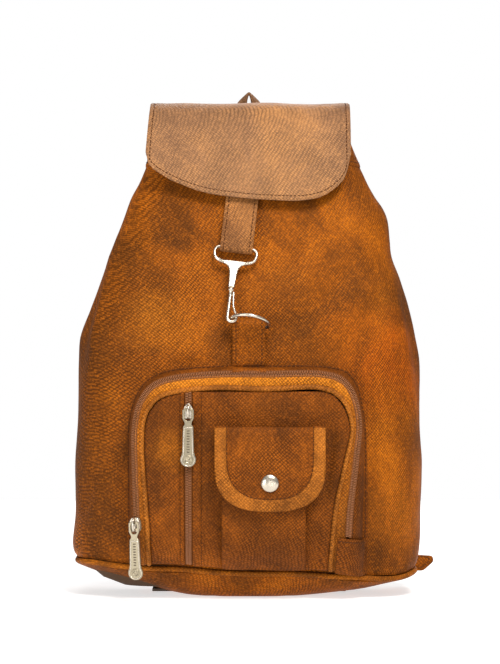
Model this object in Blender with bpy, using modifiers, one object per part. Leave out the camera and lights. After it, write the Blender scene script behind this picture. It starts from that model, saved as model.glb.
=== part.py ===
"""Flap-top leather backpack with a zipped front pocket, a snap hook closure and shoulder straps.

Metres, +Z up. The origin is the middle of the flat base, the front faces -Y and +X is on
the right when the bag is looked at from the front.
"""
import math

import bpy
import bmesh
from mathutils import Matrix, Vector

MM = 0.001

# Body of the bag: half width and depth of the front at each height
HALF_WIDTH = ((0.016, 0.131), (0.056, 0.1358), (0.151, 0.133), (0.190, 0.1335), (0.213, 0.128),
              (0.245, 0.118), (0.276, 0.108), (0.300, 0.100), (0.323, 0.088), (0.339, 0.081),
              (0.356, 0.076))
FRONT_DEPTH = ((0.016, 0.054), (0.060, 0.063), (0.150, 0.064), (0.220, 0.056), (0.290, 0.040),
               (0.330, 0.026), (0.356, 0.016))
BACK_Y = 0.055
MOUTH_Z = 0.355
BACK_TOP_Z = 0.362
BACK_PAD = 5 * MM
LEATHER = 1.8 * MM
SEAM_Z = 0.016
SEAM_RISE = 0.008
PIPING_R = 2.2 * MM
SEAM_GAP = 0.5 * MM

# Front pocket: matching points of its seam on the body and of its front edge, as (x, z)
POCKET_SEAM = ((-0.0915, 0.0225), (-0.0920, 0.060), (-0.0920, 0.100), (-0.0915, 0.135),
               (-0.0835, 0.160), (-0.0660, 0.173), (-0.0300, 0.1775), (0.0150, 0.178),
               (0.0580, 0.1775), (0.0780, 0.170), (0.0873, 0.145), (0.0892, 0.110),
               (0.0890, 0.065), (0.0885, 0.0225))
POCKET_FACE = ((-0.0762, 0.0235), (-0.0772, 0.060), (-0.0803, 0.100), (-0.0806, 0.131),
               (-0.0755, 0.147), (-0.0625, 0.1572), (-0.0300, 0.1615), (0.0140, 0.1610),
               (0.0520, 0.1620), (0.0705, 0.1530), (0.0785, 0.132), (0.0735, 0.106),
               (0.0655, 0.068), (0.0622, 0.0245))
# How far the zip leans from the middle of the wall to the front, along the seam's points
ZIP_LEAN = ((0.0, 0.04), (3.0, 0.04), (5.0, -0.06), (8.0, -0.09), (10.0, 0.04), (11.5, 0.10),
            (13.0, 0.10))
POCKET_Y = -0.083
POCKET_HEM_Y = -0.0612
POCKET_HEM_Z = 0.0225
POCKET_SWELL_Z = 0.0675
POCKET_LEATHER = 1.5 * MM
TAPE = 0.8 * MM
TAPE_DROP = 2.2 * MM
TEETH_R = 1.2 * MM
TEETH_AT = 0.44
FACE_ZIP_X = -0.0458
POCKET_SLIDER_AT = 0.9675
FACE_SLIDER_Z = 0.1440
LEFT_PANEL_TOP_Z = 0.1562

# Phone pocket on the front pocket
PHONE_X = (-0.0205, 0.0430)
PHONE_TOP_Z = 0.1265
PHONE_STAND = 8.5 * MM
PHONE_FLAP_X = (-0.0255, 0.0572)
PHONE_FLAP_TOP_Z = 0.1326
PHONE_FLAP_LOW_Z = 0.0694
PHONE_FLAP_STAND = 14.0 * MM
PHONE_FLAP_T = 2.6 * MM
PHONE_FOLD = 9 * MM
SNAP_AT = (0.0158, 0.0904)
SNAP_R = 6.75 * MM

# Main flap: outer line over the top of the bag, as (y, z), then its front edge, as (x, z)
FLAP_OVER = ((0.0645, 0.351), (0.0645, 0.362), (0.0560, 0.3755), (0.0400, 0.3830),
             (0.0150, 0.3850), (-0.0080, 0.3800), (-0.0220, 0.3660), (-0.0290, 0.3500),
             (-0.0370, 0.3300), (-0.0460, 0.3050), (-0.0485, 0.2980))
FLAP_EDGE = ((-0.0800, 0.3440), (-0.0775, 0.3350), (-0.0660, 0.3250), (-0.0380, 0.3130),
             (-0.0070, 0.3080), (0.0200, 0.3060), (0.0390, 0.3056), (0.0550, 0.3085),
             (0.0660, 0.3150), (0.0740, 0.3250), (0.0790, 0.3420))
FLAP_BEND_END = 40
FLAP_T = 1.6 * MM
FLAP_LINING_T = 0.8 * MM

# Closure: strap, snap hook and ring
STRAP_W = 25 * MM
STRAP_T = 1.5 * MM
EYE_Z = 0.2671
EYE_STAND = 4.8 * MM
RING_Z = 0.2085
RING_STAND = 6.1 * MM
RING_R = 1.3 * MM
RING_HALF = 15 * MM
RING_REACH = 13.5 * MM
RING_CORNER = 3 * MM
RING_HELD = math.radians(160)
RING_TILT = math.radians(26)
RING_ROLL = math.radians(9)
HOOK_R = 1.2 * MM
MOUTH_R = 3.3 * MM
NECK_END = 33.0 * MM

# Carrying side
YOKE_Z = (0.300, 0.336)
PAD_T = 6 * MM
WEBBING_T = 1.6 * MM
SHOULDER_ROUTE = ((0.0340, 0.0685, 0.3180), (0.0375, 0.0800, 0.3000), (0.0480, 0.0955, 0.2620),
                  (0.0640, 0.1035, 0.2120), (0.0830, 0.1010, 0.1640), (0.0965, 0.0930, 0.1230))
WEBBING_ROUTE = ((0.0975, 0.0920, 0.1195), (0.1130, 0.0775, 0.0610), (0.1190, 0.0725, 0.0380),
                 (0.1210, 0.0715, 0.0280))

LEATHER_TAN = (0.42, 0.16, 0.035)
LEATHER_LIGHT = (0.55, 0.24, 0.075)
LEATHER_DARK = (0.20, 0.065, 0.016)
METAL = (0.72, 0.62, 0.50)

PARTS = None
CUTTERS = None


def clear_scene():
    for item in list(bpy.data.objects):
        bpy.data.objects.remove(item, do_unlink=True)


def new_collection(name):
    made = bpy.data.collections.new(name)
    bpy.context.scene.collection.children.link(made)
    return made


def material(name, colour, roughness=0.55, metallic=0.0):
    made = bpy.data.materials.new(name)
    made.use_nodes = True
    shader = made.node_tree.nodes["Principled BSDF"]
    shader.inputs["Base Color"].default_value = (*colour, 1.0)
    shader.inputs["Roughness"].default_value = roughness
    shader.inputs["Metallic"].default_value = metallic
    return made


def smooth(table, at):
    """A smooth curve through (position, value) pairs, read at one position."""
    at = min(max(at, table[0][0]), table[-1][0])
    k = max(i for i in range(len(table) - 1) if table[i][0] <= at)
    (x0, y0), (x1, y1) = table[k], table[k + 1]
    before, after = table[max(k - 1, 0)], table[min(k + 2, len(table) - 1)]
    slope0 = (y1 - before[1]) / (x1 - before[0])
    slope1 = (after[1] - y0) / (after[0] - x0)
    t, span = (at - x0) / (x1 - x0), x1 - x0
    return ((2 * t**3 - 3 * t**2 + 1) * y0 + (t**3 - 2 * t**2 + t) * span * slope0
            + (3 * t**2 - 2 * t**3) * y1 + (t**3 - t**2) * span * slope1)


def along(points, t):
    """A smooth curve through points, where t counts from the first to the last one."""
    k = min(int(t), len(points) - 2)
    f = t - k
    p = [Vector(points[min(max(i, 0), len(points) - 1)]) for i in (k - 1, k, k + 1, k + 2)]
    return 0.5 * (2 * p[1] + (p[2] - p[0]) * f + (2 * p[0] - 5 * p[1] + 4 * p[2] - p[3]) * f**2
                  + (3 * p[1] - p[0] - 3 * p[2] + p[3]) * f**3)


def sampled(points, count):
    return [along(points, (len(points) - 1) * i / (count - 1)) for i in range(count)]


def spread(low, high, count):
    return [low + (high - low) * i / (count - 1) for i in range(count)]


def place(name, data, finish, collection=None):
    made = bpy.data.objects.new(name, data)
    (collection or PARTS).objects.link(made)
    if finish is not None:
        data.materials.append(finish)
    return made


def grid_mesh(name, rows, ring=False, floor=False):
    """Quads between rows of points. A ring closes each row on itself, a floor fills the first one."""
    mesh = bmesh.new()
    made = [[mesh.verts.new(p) for p in row] for row in rows]
    width = len(rows[0])
    for low, high in zip(made, made[1:]):
        for j in range(width if ring else width - 1):
            k = (j + 1) % width
            mesh.faces.new((low[j], low[k], high[k], high[j]))
    if floor:
        mesh.faces.new(list(reversed(made[0])))
    data = bpy.data.meshes.new(name)
    mesh.to_mesh(data)
    mesh.free()
    return data


def sheet(name, rows, thickness, finish, ring=False, floor=False):
    """A sheet of leather or cloth: the rows are its outer side and the thickness goes inwards."""
    made = place(name, grid_mesh(name, rows, ring, floor), finish)
    made.data.shade_smooth()
    solid = made.modifiers.new("Thickness", "SOLIDIFY")
    solid.thickness = thickness
    solid.offset = -1.0
    solid.use_even_offset = True
    return made


def tube(name, points, radius, finish, closed=False, resolution=2, radii=None):
    curve = bpy.data.curves.new(name, "CURVE")
    curve.dimensions = "3D"
    curve.bevel_depth = radius
    curve.bevel_resolution = resolution
    curve.use_fill_caps = not closed
    line = curve.splines.new("POLY")
    line.points.add(len(points) - 1)
    for i, (slot, p) in enumerate(zip(line.points, points)):
        slot.co = (*p, 1.0)
        slot.radius = radii[i] if radii else 1.0
    line.use_cyclic_u = closed
    return place(name, curve, finish)


def plate(name, outlines, thickness, frame, finish):
    """A flat piece from closed 2D outlines, the first one outside and the others holes."""
    curve = bpy.data.curves.new(name, "CURVE")
    curve.dimensions = "2D"
    curve.fill_mode = "BOTH"
    curve.extrude = thickness / 2
    for outline in outlines:
        line = curve.splines.new("POLY")
        line.points.add(len(outline) - 1)
        for slot, p in zip(line.points, outline):
            slot.co = (*p, 0.0, 1.0)
        line.use_cyclic_u = True
    made = place(name, curve, finish)
    made.matrix_world = frame
    return made


def box(name, size, frame, finish):
    mesh = bmesh.new()
    bmesh.ops.create_cube(mesh, size=1.0)
    bmesh.ops.scale(mesh, vec=size, verts=mesh.verts)
    data = bpy.data.meshes.new(name)
    mesh.to_mesh(data)
    mesh.free()
    made = place(name, data, finish)
    made.matrix_world = frame
    return made


def rounded(piece, width, segments=2):
    edges = piece.modifiers.new("Rounding", "BEVEL")
    edges.width = width
    edges.segments = segments
    return piece


def turned(name, profile, frame, finish, steps=24):
    """A turned piece: (radius, height) from its top edge down its outer side, round the frame's Z."""
    mesh = bmesh.new()
    verts = [mesh.verts.new((r, 0.0, h)) for r, h in profile]
    for a, b in zip(verts, verts[1:] + verts[:1] if profile[0][0] > 0 else verts[1:]):
        mesh.edges.new((a, b))
    data = bpy.data.meshes.new(name)
    mesh.to_mesh(data)
    mesh.free()
    made = place(name, data, finish)
    made.matrix_world = frame
    spin = made.modifiers.new("Turning", "SCREW")
    spin.steps = spin.render_steps = steps
    spin.use_merge_vertices = True
    spin.merge_threshold = 0.00001
    return made


def combine(piece, other, operation):
    """Cuts a piece with another, or joins the other to it. The other becomes a hidden guide."""
    change = piece.modifiers.new(operation.title(), "BOOLEAN")
    change.operation = operation
    change.solver = "EXACT"
    change.object = other
    other.hide_render = True
    other.display_type = "WIRE"
    for group in list(other.users_collection):
        group.objects.unlink(other)
    CUTTERS.objects.link(other)


def frame_at(origin, x_axis, y_axis):
    """A frame whose X and Y axes are given and whose Z is their cross product."""
    x = Vector(x_axis).normalized()
    z = x.cross(Vector(y_axis)).normalized()
    y = z.cross(x)
    made = Matrix((x, y, z)).transposed().to_4x4()
    made.translation = origin
    return made


def half_width(z):
    return smooth(HALF_WIDTH, z)


def front_depth(z):
    return smooth(FRONT_DEPTH, z)


def front_y(x, z):
    """The front of the bag: a superellipse that blends into flat sides."""
    across = min(abs(x) / half_width(z), 1.0)
    return -front_depth(z) * (1.0 - across**3) ** (1 / 3)


def on_front(x, z, stand=0.0):
    """A point at a distance in front of the bag's front surface."""
    step = 0.5 * MM
    right = Vector((2 * step, front_y(x + step, z) - front_y(x - step, z), 0.0))
    up = Vector((0.0, front_y(x, z + step) - front_y(x, z - step), 2 * step))
    return Vector((x, front_y(x, z), z)) + right.cross(up).normalized() * stand


def seam_z(x):
    return SEAM_Z + SEAM_RISE * min(abs(x) / half_width(SEAM_Z), 1.0) ** 3


def wrap_line(width, depth, back_y, front_steps=26, side_steps=3):
    """The bag's outline seen from above, from the left end of the back round the front."""
    sides = [back_y * (1 - i / side_steps) for i in range(side_steps)]
    line = [(-width, y) for y in sides]
    for i in range(front_steps + 1):
        a = math.pi * (1 - i / front_steps)
        c, s = math.cos(a), max(math.sin(a), 0.0)
        line.append((math.copysign(abs(c) ** (2 / 3), c) * width, -(s ** (2 / 3)) * depth))
    return line + [(width, y) for y in reversed(sides)]


def wrap_rows(heights, stand, lift=0.0):
    """Rows of the wrap. Lift is how far the first row follows the rising bottom seam."""
    rows = []
    for i, z0 in enumerate(heights):
        fade = (1 - i / (len(heights) - 1)) ** 3 * lift
        line = wrap_line(1.0, 1.0, 1.0)
        row = []
        for u, v in line:
            z = z0 + fade * SEAM_RISE * abs(u) ** 3
            y = v * (front_depth(z) + stand) if v < 0 else v * (BACK_Y - SEAM_GAP)
            row.append((u * (half_width(z) + stand), y, z))
        rows.append(row)
    return rows


def base_line():
    """The closed outline of the bottom seam, as (x, y)."""
    width = half_width(SEAM_Z)
    front = list(wrap_line(width, front_depth(SEAM_Z), BACK_Y - 2 * MM))
    return front + [(x, BACK_Y + 2.5 * MM) for x in spread(width - 3 * MM, 3 * MM - width, 8)]


def make_body(tan, dark):
    heights = [SEAM_Z + PIPING_R + SEAM_GAP, 0.032, 0.056, 0.095, 0.140, 0.180, 0.205, 0.230,
               0.255, 0.280, 0.300, 0.320, 0.338, MOUTH_Z]
    sheet("body_panel", wrap_rows(heights, 0.0, lift=1.0), LEATHER, tan)

    inner = wrap_rows([0.0300, 0.060, 0.110, 0.160, 0.205, 0.245, 0.285, 0.328], -2.8 * MM)
    bottom = []
    for scale, height in ((0.74, 0.0062), (0.88, 0.0150)):
        bottom.append([(x * scale, y * scale, height) for x, y, z in inner[0]])
    sheet("main_lining", bottom + inner, 0.5 * MM, dark, ring=True, floor=True)

    hem = sheet("mouth_hem", wrap_rows([0.333, 0.345, 0.356], 2.6 * MM), 1.6 * MM, tan)
    brass = material("eyelet_brass", METAL, 0.3, 1.0)
    for side, x in (("left", -0.026), ("right", 0.026)):
        z = 0.3445
        out = on_front(x, z, 1.0) - on_front(x, z)
        frame = frame_at(on_front(x, z, 2.6 * MM), (1, 0, 0), out.cross(Vector((1, 0, 0))))
        hole = turned(f"eyelet_hole_{side}", [(0, 4 * MM), (4.4 * MM, 4 * MM),
                      (4.4 * MM, -4 * MM), (0, -4 * MM)], frame, None, 16)
        combine(hem, hole, "DIFFERENCE")
        turned(f"mouth_eyelet_{side}", [(2.8 * MM, 1.2 * MM), (5.8 * MM, 1.0 * MM),
               (5.8 * MM, 0.4 * MM), (3.9 * MM, 0.4 * MM), (3.9 * MM, -1.2 * MM),
               (2.8 * MM, -1.2 * MM)], frame, brass, 16)


def make_back(tan):
    """The padded back panel, flat against the wearer."""
    low = SEAM_Z + SEAM_RISE + PIPING_R + SEAM_GAP
    edge = [(half_width(z) + SEAM_GAP, z) for z in (low, 0.10, 0.16, 0.19, 0.21, 0.235, 0.26, 0.285,
                                                   0.305, 0.323, 0.34, BACK_TOP_Z - 5 * MM)]
    edge.append((half_width(BACK_TOP_Z) - 5 * MM, BACK_TOP_Z))
    under = [(x, seam_z(x) + PIPING_R + SEAM_GAP) for x in spread(-0.12, 0.12, 9)]
    outline = under + edge + [(-x, z) for x, z in reversed(edge)]
    frame = frame_at((0, BACK_Y + 0.3 * MM + BACK_PAD / 2, 0), (1, 0, 0), (0, 0, 1))
    plate("back_panel", [outline], BACK_PAD, frame, tan)


def make_base(tan, dark):
    rows = []
    rings = ((0.74, 0.0), (0.86, 0.14), (0.94, 0.40), (0.985, 0.72), (1.0, 1.0))
    for scale, height in rings:
        rows.append([(x * scale, y * scale, height * (seam_z(x) - PIPING_R - SEAM_GAP))
                     for x, y in base_line()])
    sheet("bottom_panel", rows, 2 * MM, tan, ring=True, floor=True)
    line = [(x, y, seam_z(x)) for x, y in base_line()]
    tube("base_piping", line, PIPING_R, tan, closed=True, resolution=1)
    stiff = Matrix.Translation((0, 0.003, 3.9 * MM))
    box("base_board", (0.150, 0.056, 2 * MM), stiff, dark)


def flap_rows(stand, inset, steps_across, steps_over=14, steps_front=7):
    """Rows of points over the flap. Stand moves them inwards, inset draws the edges in."""
    fine = sampled([(0.0, *p) for p in FLAP_OVER], 61)
    low, high = FLAP_EDGE[0][0] + inset, FLAP_EDGE[-1][0] - inset
    middle, reach = (low + high) / 2, (high - low) / 2
    columns = []
    for i in range(steps_across):
        x = middle - reach * math.cos(math.pi * i / (steps_across - 1))
        end_z = smooth(FLAP_EDGE, x) + inset
        end = next(k for k in range(30, 61) if fine[k].z <= end_z)
        stop = end - (end_z - fine[end].z) / (fine[end - 1].z - fine[end].z)
        stations = spread(0, FLAP_BEND_END, steps_over)
        stations += spread(FLAP_BEND_END, stop, steps_front + 1)[1:]
        column = []
        for at in stations:
            k = min(int(at), 59)
            here, run = fine[k].lerp(fine[k + 1], at - k), fine[k + 1] - fine[k]
            inward = Vector((0, run.z, -run.y)).normalized()
            column.append(Vector((x, here.y, here.z)) - inward * stand)
        columns.append(column)
    return [[column[j] for column in reversed(columns)] for j in range(len(columns[0]))]


def make_flap(light, dark):
    sheet("flap_panel", flap_rows(0.0, 0.0, 17), FLAP_T, light)
    sheet("flap_lining", flap_rows(FLAP_T + 0.4 * MM, 2.5 * MM, 15), FLAP_LINING_T, dark)


def ribbon(name, points, across, thickness, finish):
    """A strap along points, whose width runs along the across vectors at each of them."""
    rows = [[p - a, p + a] for p, a in zip(points, across)]
    return sheet(name, rows, thickness, finish)


def make_haul_loop(light):
    """A strip whose tails are sewn side by side behind the flap's fold and twist up to its top."""
    half = ((9.0, 66.0, 353.0, 0), (9.3, 66.2, 360.0, 0), (9.5, 66.6, 366.0, 12),
            (9.2, 68.0, 374.0, 35), (8.0, 70.0, 382.0, 62), (6.0, 71.5, 390.5, 82),
            (3.4, 72.3, 396.0, 90), (0.0, 72.6, 398.4, 90))
    route = [(-x, y, z, turn) for x, y, z, turn in half]
    route += [(x, y, z, 180 - turn) for x, y, z, turn in reversed(half[:-1])]
    line, across = [], []
    for x, y, z, turn in route:
        a = math.radians(turn)
        line.append(Vector((x, y, z)) * MM)
        across.append(Vector((math.cos(a), -math.sin(a), 0)) * 6.5 * MM)
    ribbon("haul_loop", line, across, 1.8 * MM, light)


def closure_x(z):
    """The closure hangs a little askew: its middle line in x at a height."""
    return -6.6 * MM + (z - 0.2935) * 0.112


def make_flap_strap(light):
    """Two layers of strap tucked under the flap and folded round the hook's bar."""
    lean = Vector((1.0, 0.0, -0.112)).normalized()
    centre = on_front(closure_x(EYE_Z), EYE_Z, EYE_STAND)
    out = (centre - on_front(closure_x(EYE_Z), EYE_Z)).normalized()
    down = lean.cross(out).normalized()
    radius = EYE_STAND - 0.9 * MM
    line = [on_front(closure_x(z), z, s * MM) for z, s in
            ((0.322, 0.9), (0.312, 0.9), (0.302, 0.9), (0.292, 0.9), (0.282, 0.9))]
    for i in range(9):
        a = math.pi * i / 8
        line.append(centre - out * math.cos(a) * radius + down * math.sin(a) * radius)
    line += [on_front(closure_x(z), z, s * MM) for z, s in
             ((0.277, 8.4), (0.284, 7.2), (0.291, 5.6), (0.298, 4.5), (0.305, 4.3),
              (0.313, 4.3), (0.320, 4.3))]
    ribbon("flap_strap", line, [lean * STRAP_W / 2] * len(line), STRAP_T, light)


def ring_frame():
    middle = on_front(0.3 * MM, RING_Z, RING_STAND)
    turn = Matrix.Rotation(RING_ROLL, 4, "Y") @ Matrix.Rotation(-RING_TILT, 4, "X")
    return Matrix.Translation(middle) @ turn


def ring_arc(angle):
    """A point on the ring's round front, which runs from its right side to its left."""
    corner = RING_CORNER
    return Vector((RING_HALF * math.cos(angle), -corner - RING_REACH * math.sin(angle), 0))


def ring_line():
    """The D ring's centre line: a straight bar at the back and a round front."""
    corner, end = RING_CORNER, RING_HALF - RING_CORNER
    turns = spread(0, math.pi / 2, 4)
    line = [(x, 0, 0) for x in spread(-0.7 * end, 0.7 * end, 3)]
    line += [(end + corner * math.sin(a), -corner * (1 - math.cos(a)), 0) for a in turns]
    line += [ring_arc(a) for a in spread(0.18, math.pi - 0.18, 15)]
    line += [(-end - corner * math.cos(a), -corner * (1 - math.sin(a)), 0) for a in turns]
    return [ring_frame() @ Vector(p) for p in line]


def hook_axes():
    """The hook's frame at its bar: across, outwards and down the shank, and the mouth's centre."""
    mouth = ring_frame() @ ring_arc(RING_HELD)
    bar = on_front(closure_x(EYE_Z), EYE_Z, EYE_STAND)
    down = (mouth - bar).normalized()
    for _ in range(4):
        across = (Vector((1, 0, 0)) - down * down.x).normalized()
        down = (mouth - across * MOUTH_R - bar).normalized()
    across = (Vector((1, 0, 0)) - down * down.x).normalized()
    return bar, across, down.cross(across).normalized(), down, mouth


def make_hook(steel):
    bar, across, out, down, mouth = hook_axes()
    frame = frame_at(bar, across, down)
    half = [(12.0, -1.2), (14.8, -0.7), (16.4, 1.2), (16.8, 4.8), (15.6, 9.2), (12.2, 12.2),
            (7.5, 13.3), (4.2, 14.7), (2.9, 18.3), (2.4, 25.5), (2.2, 33.0)]
    hole = [(13.4, 1.2), (13.9, 4.8), (13.0, 8.0), (10.6, 9.8), (6.0, 10.2)]
    outline = [(x * MM, y * MM) for x, y in half + [(-x, y) for x, y in reversed(half)]]
    inside = [(x * MM, y * MM) for x, y in hole + [(-x, y) for x, y in reversed(hole)]]
    plate("hook_eye", [outline, inside], 2.4 * MM, frame, steel)

    reach = (mouth - bar).dot(down)
    line = [(0.0, NECK_END + 0.5 * MM), (0.0, NECK_END + 2.3 * MM), (0.0, NECK_END + 2.4 * MM),
            (0.0, reach - 8 * MM), (0.0, reach)]
    radii = [1.8, 1.8, 1.0, 1.0, 1.0]
    for i in range(1, 11):
        a = math.pi * i / 10
        line.append((MOUTH_R * (1 - math.cos(a)), reach + MOUTH_R * math.sin(a)))
        radii.append(1.0)
    line.append((2 * MOUTH_R, reach - 2.0 * MM))
    radii.append(0.9)
    points = [bar + across * u + down * v for u, v in line]
    tube("hook_body", points, HOOK_R, steel, radii=radii, resolution=2)

    top, low = (2.9 * MM, NECK_END + 3.4 * MM), (2 * MOUTH_R, reach - 3.9 * MM)
    gate = [bar + across * u + down * v for u, v in (top, low)]
    tube("hook_gate", gate, 0.8 * MM, steel, resolution=1)


def make_ring_and_strap(tan, steel):
    tube("d_ring", ring_line(), RING_R, steel, closed=True, resolution=2)
    centre = on_front(0.0, RING_Z, RING_STAND)
    out = (centre - on_front(0.0, RING_Z)).normalized()
    across = Vector((1.0, 0.0, 0.0))
    up = out.cross(across).normalized()
    up = up if up.z > 0 else -up
    radius = RING_STAND - 0.9 * MM
    line = [on_front(0.0, z, s * MM) for z, s in ((0.1800, 4.5), (0.187, 4.6), (0.194, 5.8),
                                                  (0.200, 8.2))]
    for i in range(9):
        a = math.pi * i / 8
        line.append(centre + out * math.cos(a) * radius + up * math.sin(a) * radius)
    line += [on_front(0.0, z, 0.9 * MM) for z in (0.201, 0.195, 0.187, 0.1800)]
    ribbon("ring_strap", line, [across * STRAP_W / 2] * len(line), STRAP_T, tan)


def pocket_face_y(z):
    """The pocket's front is upright and is drawn in to the bottom seam over its lowest part."""
    u = min(max((z - POCKET_HEM_Z) / (POCKET_SWELL_Z - POCKET_HEM_Z), 0.0), 1.0)
    return POCKET_Y + (POCKET_HEM_Y - POCKET_Y) * (1 - u) ** 2


def gusset_point(s, inward):
    """The pocket's wall: s runs along its seam, inward goes from 0 at the body to 1 at the front."""
    seam, edge = along(POCKET_SEAM, s), along(POCKET_FACE, s)
    flat = seam.lerp(edge, inward + smooth(ZIP_LEAN, s) * 4 * inward * (1 - inward))
    start = front_y(seam.x, seam.y) - 1.2 * MM
    forward = (1.0 - (1.0 - inward) ** 4) ** 0.25
    y = start + (pocket_face_y(edge.y) - start) * forward
    return Vector((flat.x, y, flat.y))


def gusset(s, inward, stand=0.0):
    """The same point moved off the wall along its normal."""
    here = gusset_point(s, inward)
    if not stand:
        return here
    e, f = 0.01, 0.01
    last = len(POCKET_SEAM) - 1
    run = gusset_point(min(s + e, last), inward) - gusset_point(max(s - e, 0), inward)
    rise = gusset_point(s, min(inward + f, 1)) - gusset_point(s, max(inward - f, 0))
    return here + run.cross(rise).normalized() * -stand


def pocket_strip(name, inwards, stand, thickness, finish, start=0.0, end=None, steps=37):
    last = len(POCKET_SEAM) - 1 if end is None else end
    rows = [[gusset(s, w, stand) for w in inwards] for s in spread(start, last, steps)]
    return sheet(name, rows, thickness, finish)


def face_edges(z):
    """The left and right edges of the pocket's front at a height."""
    last = len(POCKET_FACE) - 1
    middle = last // 2 + 0.5
    found = []
    for low, high in ((0.0, middle), (float(last), middle)):
        for _ in range(40):
            half = (low + high) / 2
            if along(POCKET_FACE, half).y < z:
                low = half
            else:
                high = half
        found.append(along(POCKET_FACE, low).x)
    return found


def face_point(x, z, stand=0.0):
    """A point off the pocket's front."""
    step = 0.5 * MM
    slope = (pocket_face_y(z + step) - pocket_face_y(z - step)) / (2 * step)
    return Vector((x, pocket_face_y(z), z)) + Vector((0, -1, slope)).normalized() * stand


FACE_HEIGHTS = (0.0250, 0.0310, 0.0380, 0.0460, 0.0550, 0.0680, 0.1000, 0.1300, 0.1440, 0.1530,
                0.1588)


def make_pocket(tan, dark, cloth):
    pocket_strip("pocket_wall_rear", (0.0, 0.004, 0.02, 0.06, 0.12, 0.2), 0.0, POCKET_LEATHER, tan)
    pocket_strip("pocket_zip_tape", (0.12, 0.3, 0.5, 0.8), -TAPE_DROP, TAPE, cloth)
    pocket_strip("pocket_wall_front", (0.63, 0.70, 0.77), 0.0, POCKET_LEATHER, tan)
    last = len(POCKET_SEAM) - 1
    patch_s = last - 0.62
    teeth = [gusset(s, TEETH_AT, -0.2 * MM) for s in spread(0.06, patch_s - 0.08, 64)]
    tube("pocket_zip_teeth", teeth, TEETH_R, dark, resolution=1)
    edge = [gusset(s, 1.0) + Vector((0, 0.4 * MM, 0)) for s in spread(0.02, last - 0.02, 56)]
    tube("pocket_piping", edge, 1.5 * MM, tan, resolution=1)
    pocket_strip("pocket_zip_end_patch", (0.02, 0.1, 0.25, 0.45, 0.65, 0.8), 2.3 * MM,
                 POCKET_LEATHER, tan, patch_s, last - 0.03, 5)

    left, right = [], []
    gap = 2.0 * MM
    for z in FACE_HEIGHTS:
        lower = min(z, LEFT_PANEL_TOP_Z)
        low = max(face_edges(lower)[0], face_edges(lower + gap)[0])
        high = min(face_edges(z)[1], face_edges(z + gap)[1])
        left.append([face_point(x, lower) for x in
                     spread(low + gap, FACE_ZIP_X - 3.0 * MM, 4)])
        right.append([face_point(x, z) for x in
                      spread(FACE_ZIP_X + 3.0 * MM, high - gap, 8)])
    sheet("pocket_panel_left", left, POCKET_LEATHER, tan)
    sheet("pocket_panel_right", right, POCKET_LEATHER, tan)
    tape = [[face_point(x, z, -TAPE_DROP) for x in (FACE_ZIP_X - 8 * MM, FACE_ZIP_X + 8 * MM)]
            for z in FACE_HEIGHTS]
    sheet("face_zip_tape", tape, TAPE, cloth)
    line = [face_point(FACE_ZIP_X, z, -0.2 * MM) for z in spread(0.026, 0.1585, 26)]
    tube("face_zip_teeth", line, TEETH_R, dark, resolution=1)


def zip_frames():
    """The frames of the two sliders on their teeth: across, up the zip, and outwards."""
    here = gusset_point(POCKET_SLIDER_AT, TEETH_AT)
    up = (gusset_point(POCKET_SLIDER_AT + 1, TEETH_AT) - here).normalized()
    rise = gusset_point(POCKET_SLIDER_AT, TEETH_AT + 0.02) - here
    side = frame_at(here, (rise - up * rise.dot(up)).normalized(), up)
    face = frame_at(face_point(FACE_ZIP_X, FACE_SLIDER_Z), (1, 0, 0), (0, 0, 1))
    return (("pocket", side), ("face", face))


def make_sliders(steel):
    """Each slider runs over its teeth and holds a puller under the bridge on its back."""
    for name, frame in zip_frames():
        at = frame @ Matrix.Translation((0, 0, 2.35 * MM))
        body = box(f"{name}_zip_slider", (8.6 * MM, 11 * MM, 3.7 * MM), at, steel)
        channel = box(f"{name}_channel", (4.4 * MM, 16 * MM, 5.0 * MM),
                      frame @ Matrix.Translation((0, 0, -0.5 * MM)), None)
        combine(body, channel, "DIFFERENCE")
        bridge = box(f"{name}_bridge", (1.8 * MM, 10.4 * MM, 4.4 * MM),
                     frame @ Matrix.Translation((0, 0, 5.6 * MM)), None)
        window = box(f"{name}_window", (6 * MM, 7.0 * MM, 2.5 * MM),
                     frame @ Matrix.Translation((0, 0, 5.35 * MM)), None)
        combine(body, bridge, "UNION")
        combine(body, window, "DIFFERENCE")
        make_puller(f"{name}_zip_puller", frame, steel)


def make_puller(name, frame, steel):
    """A flat tag with a loop at its top and a round end."""
    half = [(3.0, 2.2), (4.2, 1.6), (4.2, -5.6), (2.6, -8.6), (2.6, -9.4), (3.9, -11.2),
            (4.5, -33.0), (5.9, -36.6), (5.3, -39.8), (3.2, -41.8)]
    outline = [(x * MM, y * MM) for x, y in half + [(-x, y) for x, y in reversed(half)]]
    window = [(2.6, 0.6), (2.6, -7.0), (-2.6, -7.0), (-2.6, 0.6)]
    loop = [(x * MM, y * MM) for x, y in window]
    at = frame @ Matrix.Translation((0, 0, 5.3 * MM))
    plate(name, [outline, loop], 1.3 * MM, at, steel)


def phone_stand(z):
    """How far the phone pocket stands off the front pocket: less towards the bottom seam."""
    u = min(max((z - 0.0255) / 0.035, 0.0), 1.0)
    return 2.6 * MM + (PHONE_STAND - 2.6 * MM) * (1 - (1 - u) ** 2)


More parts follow.
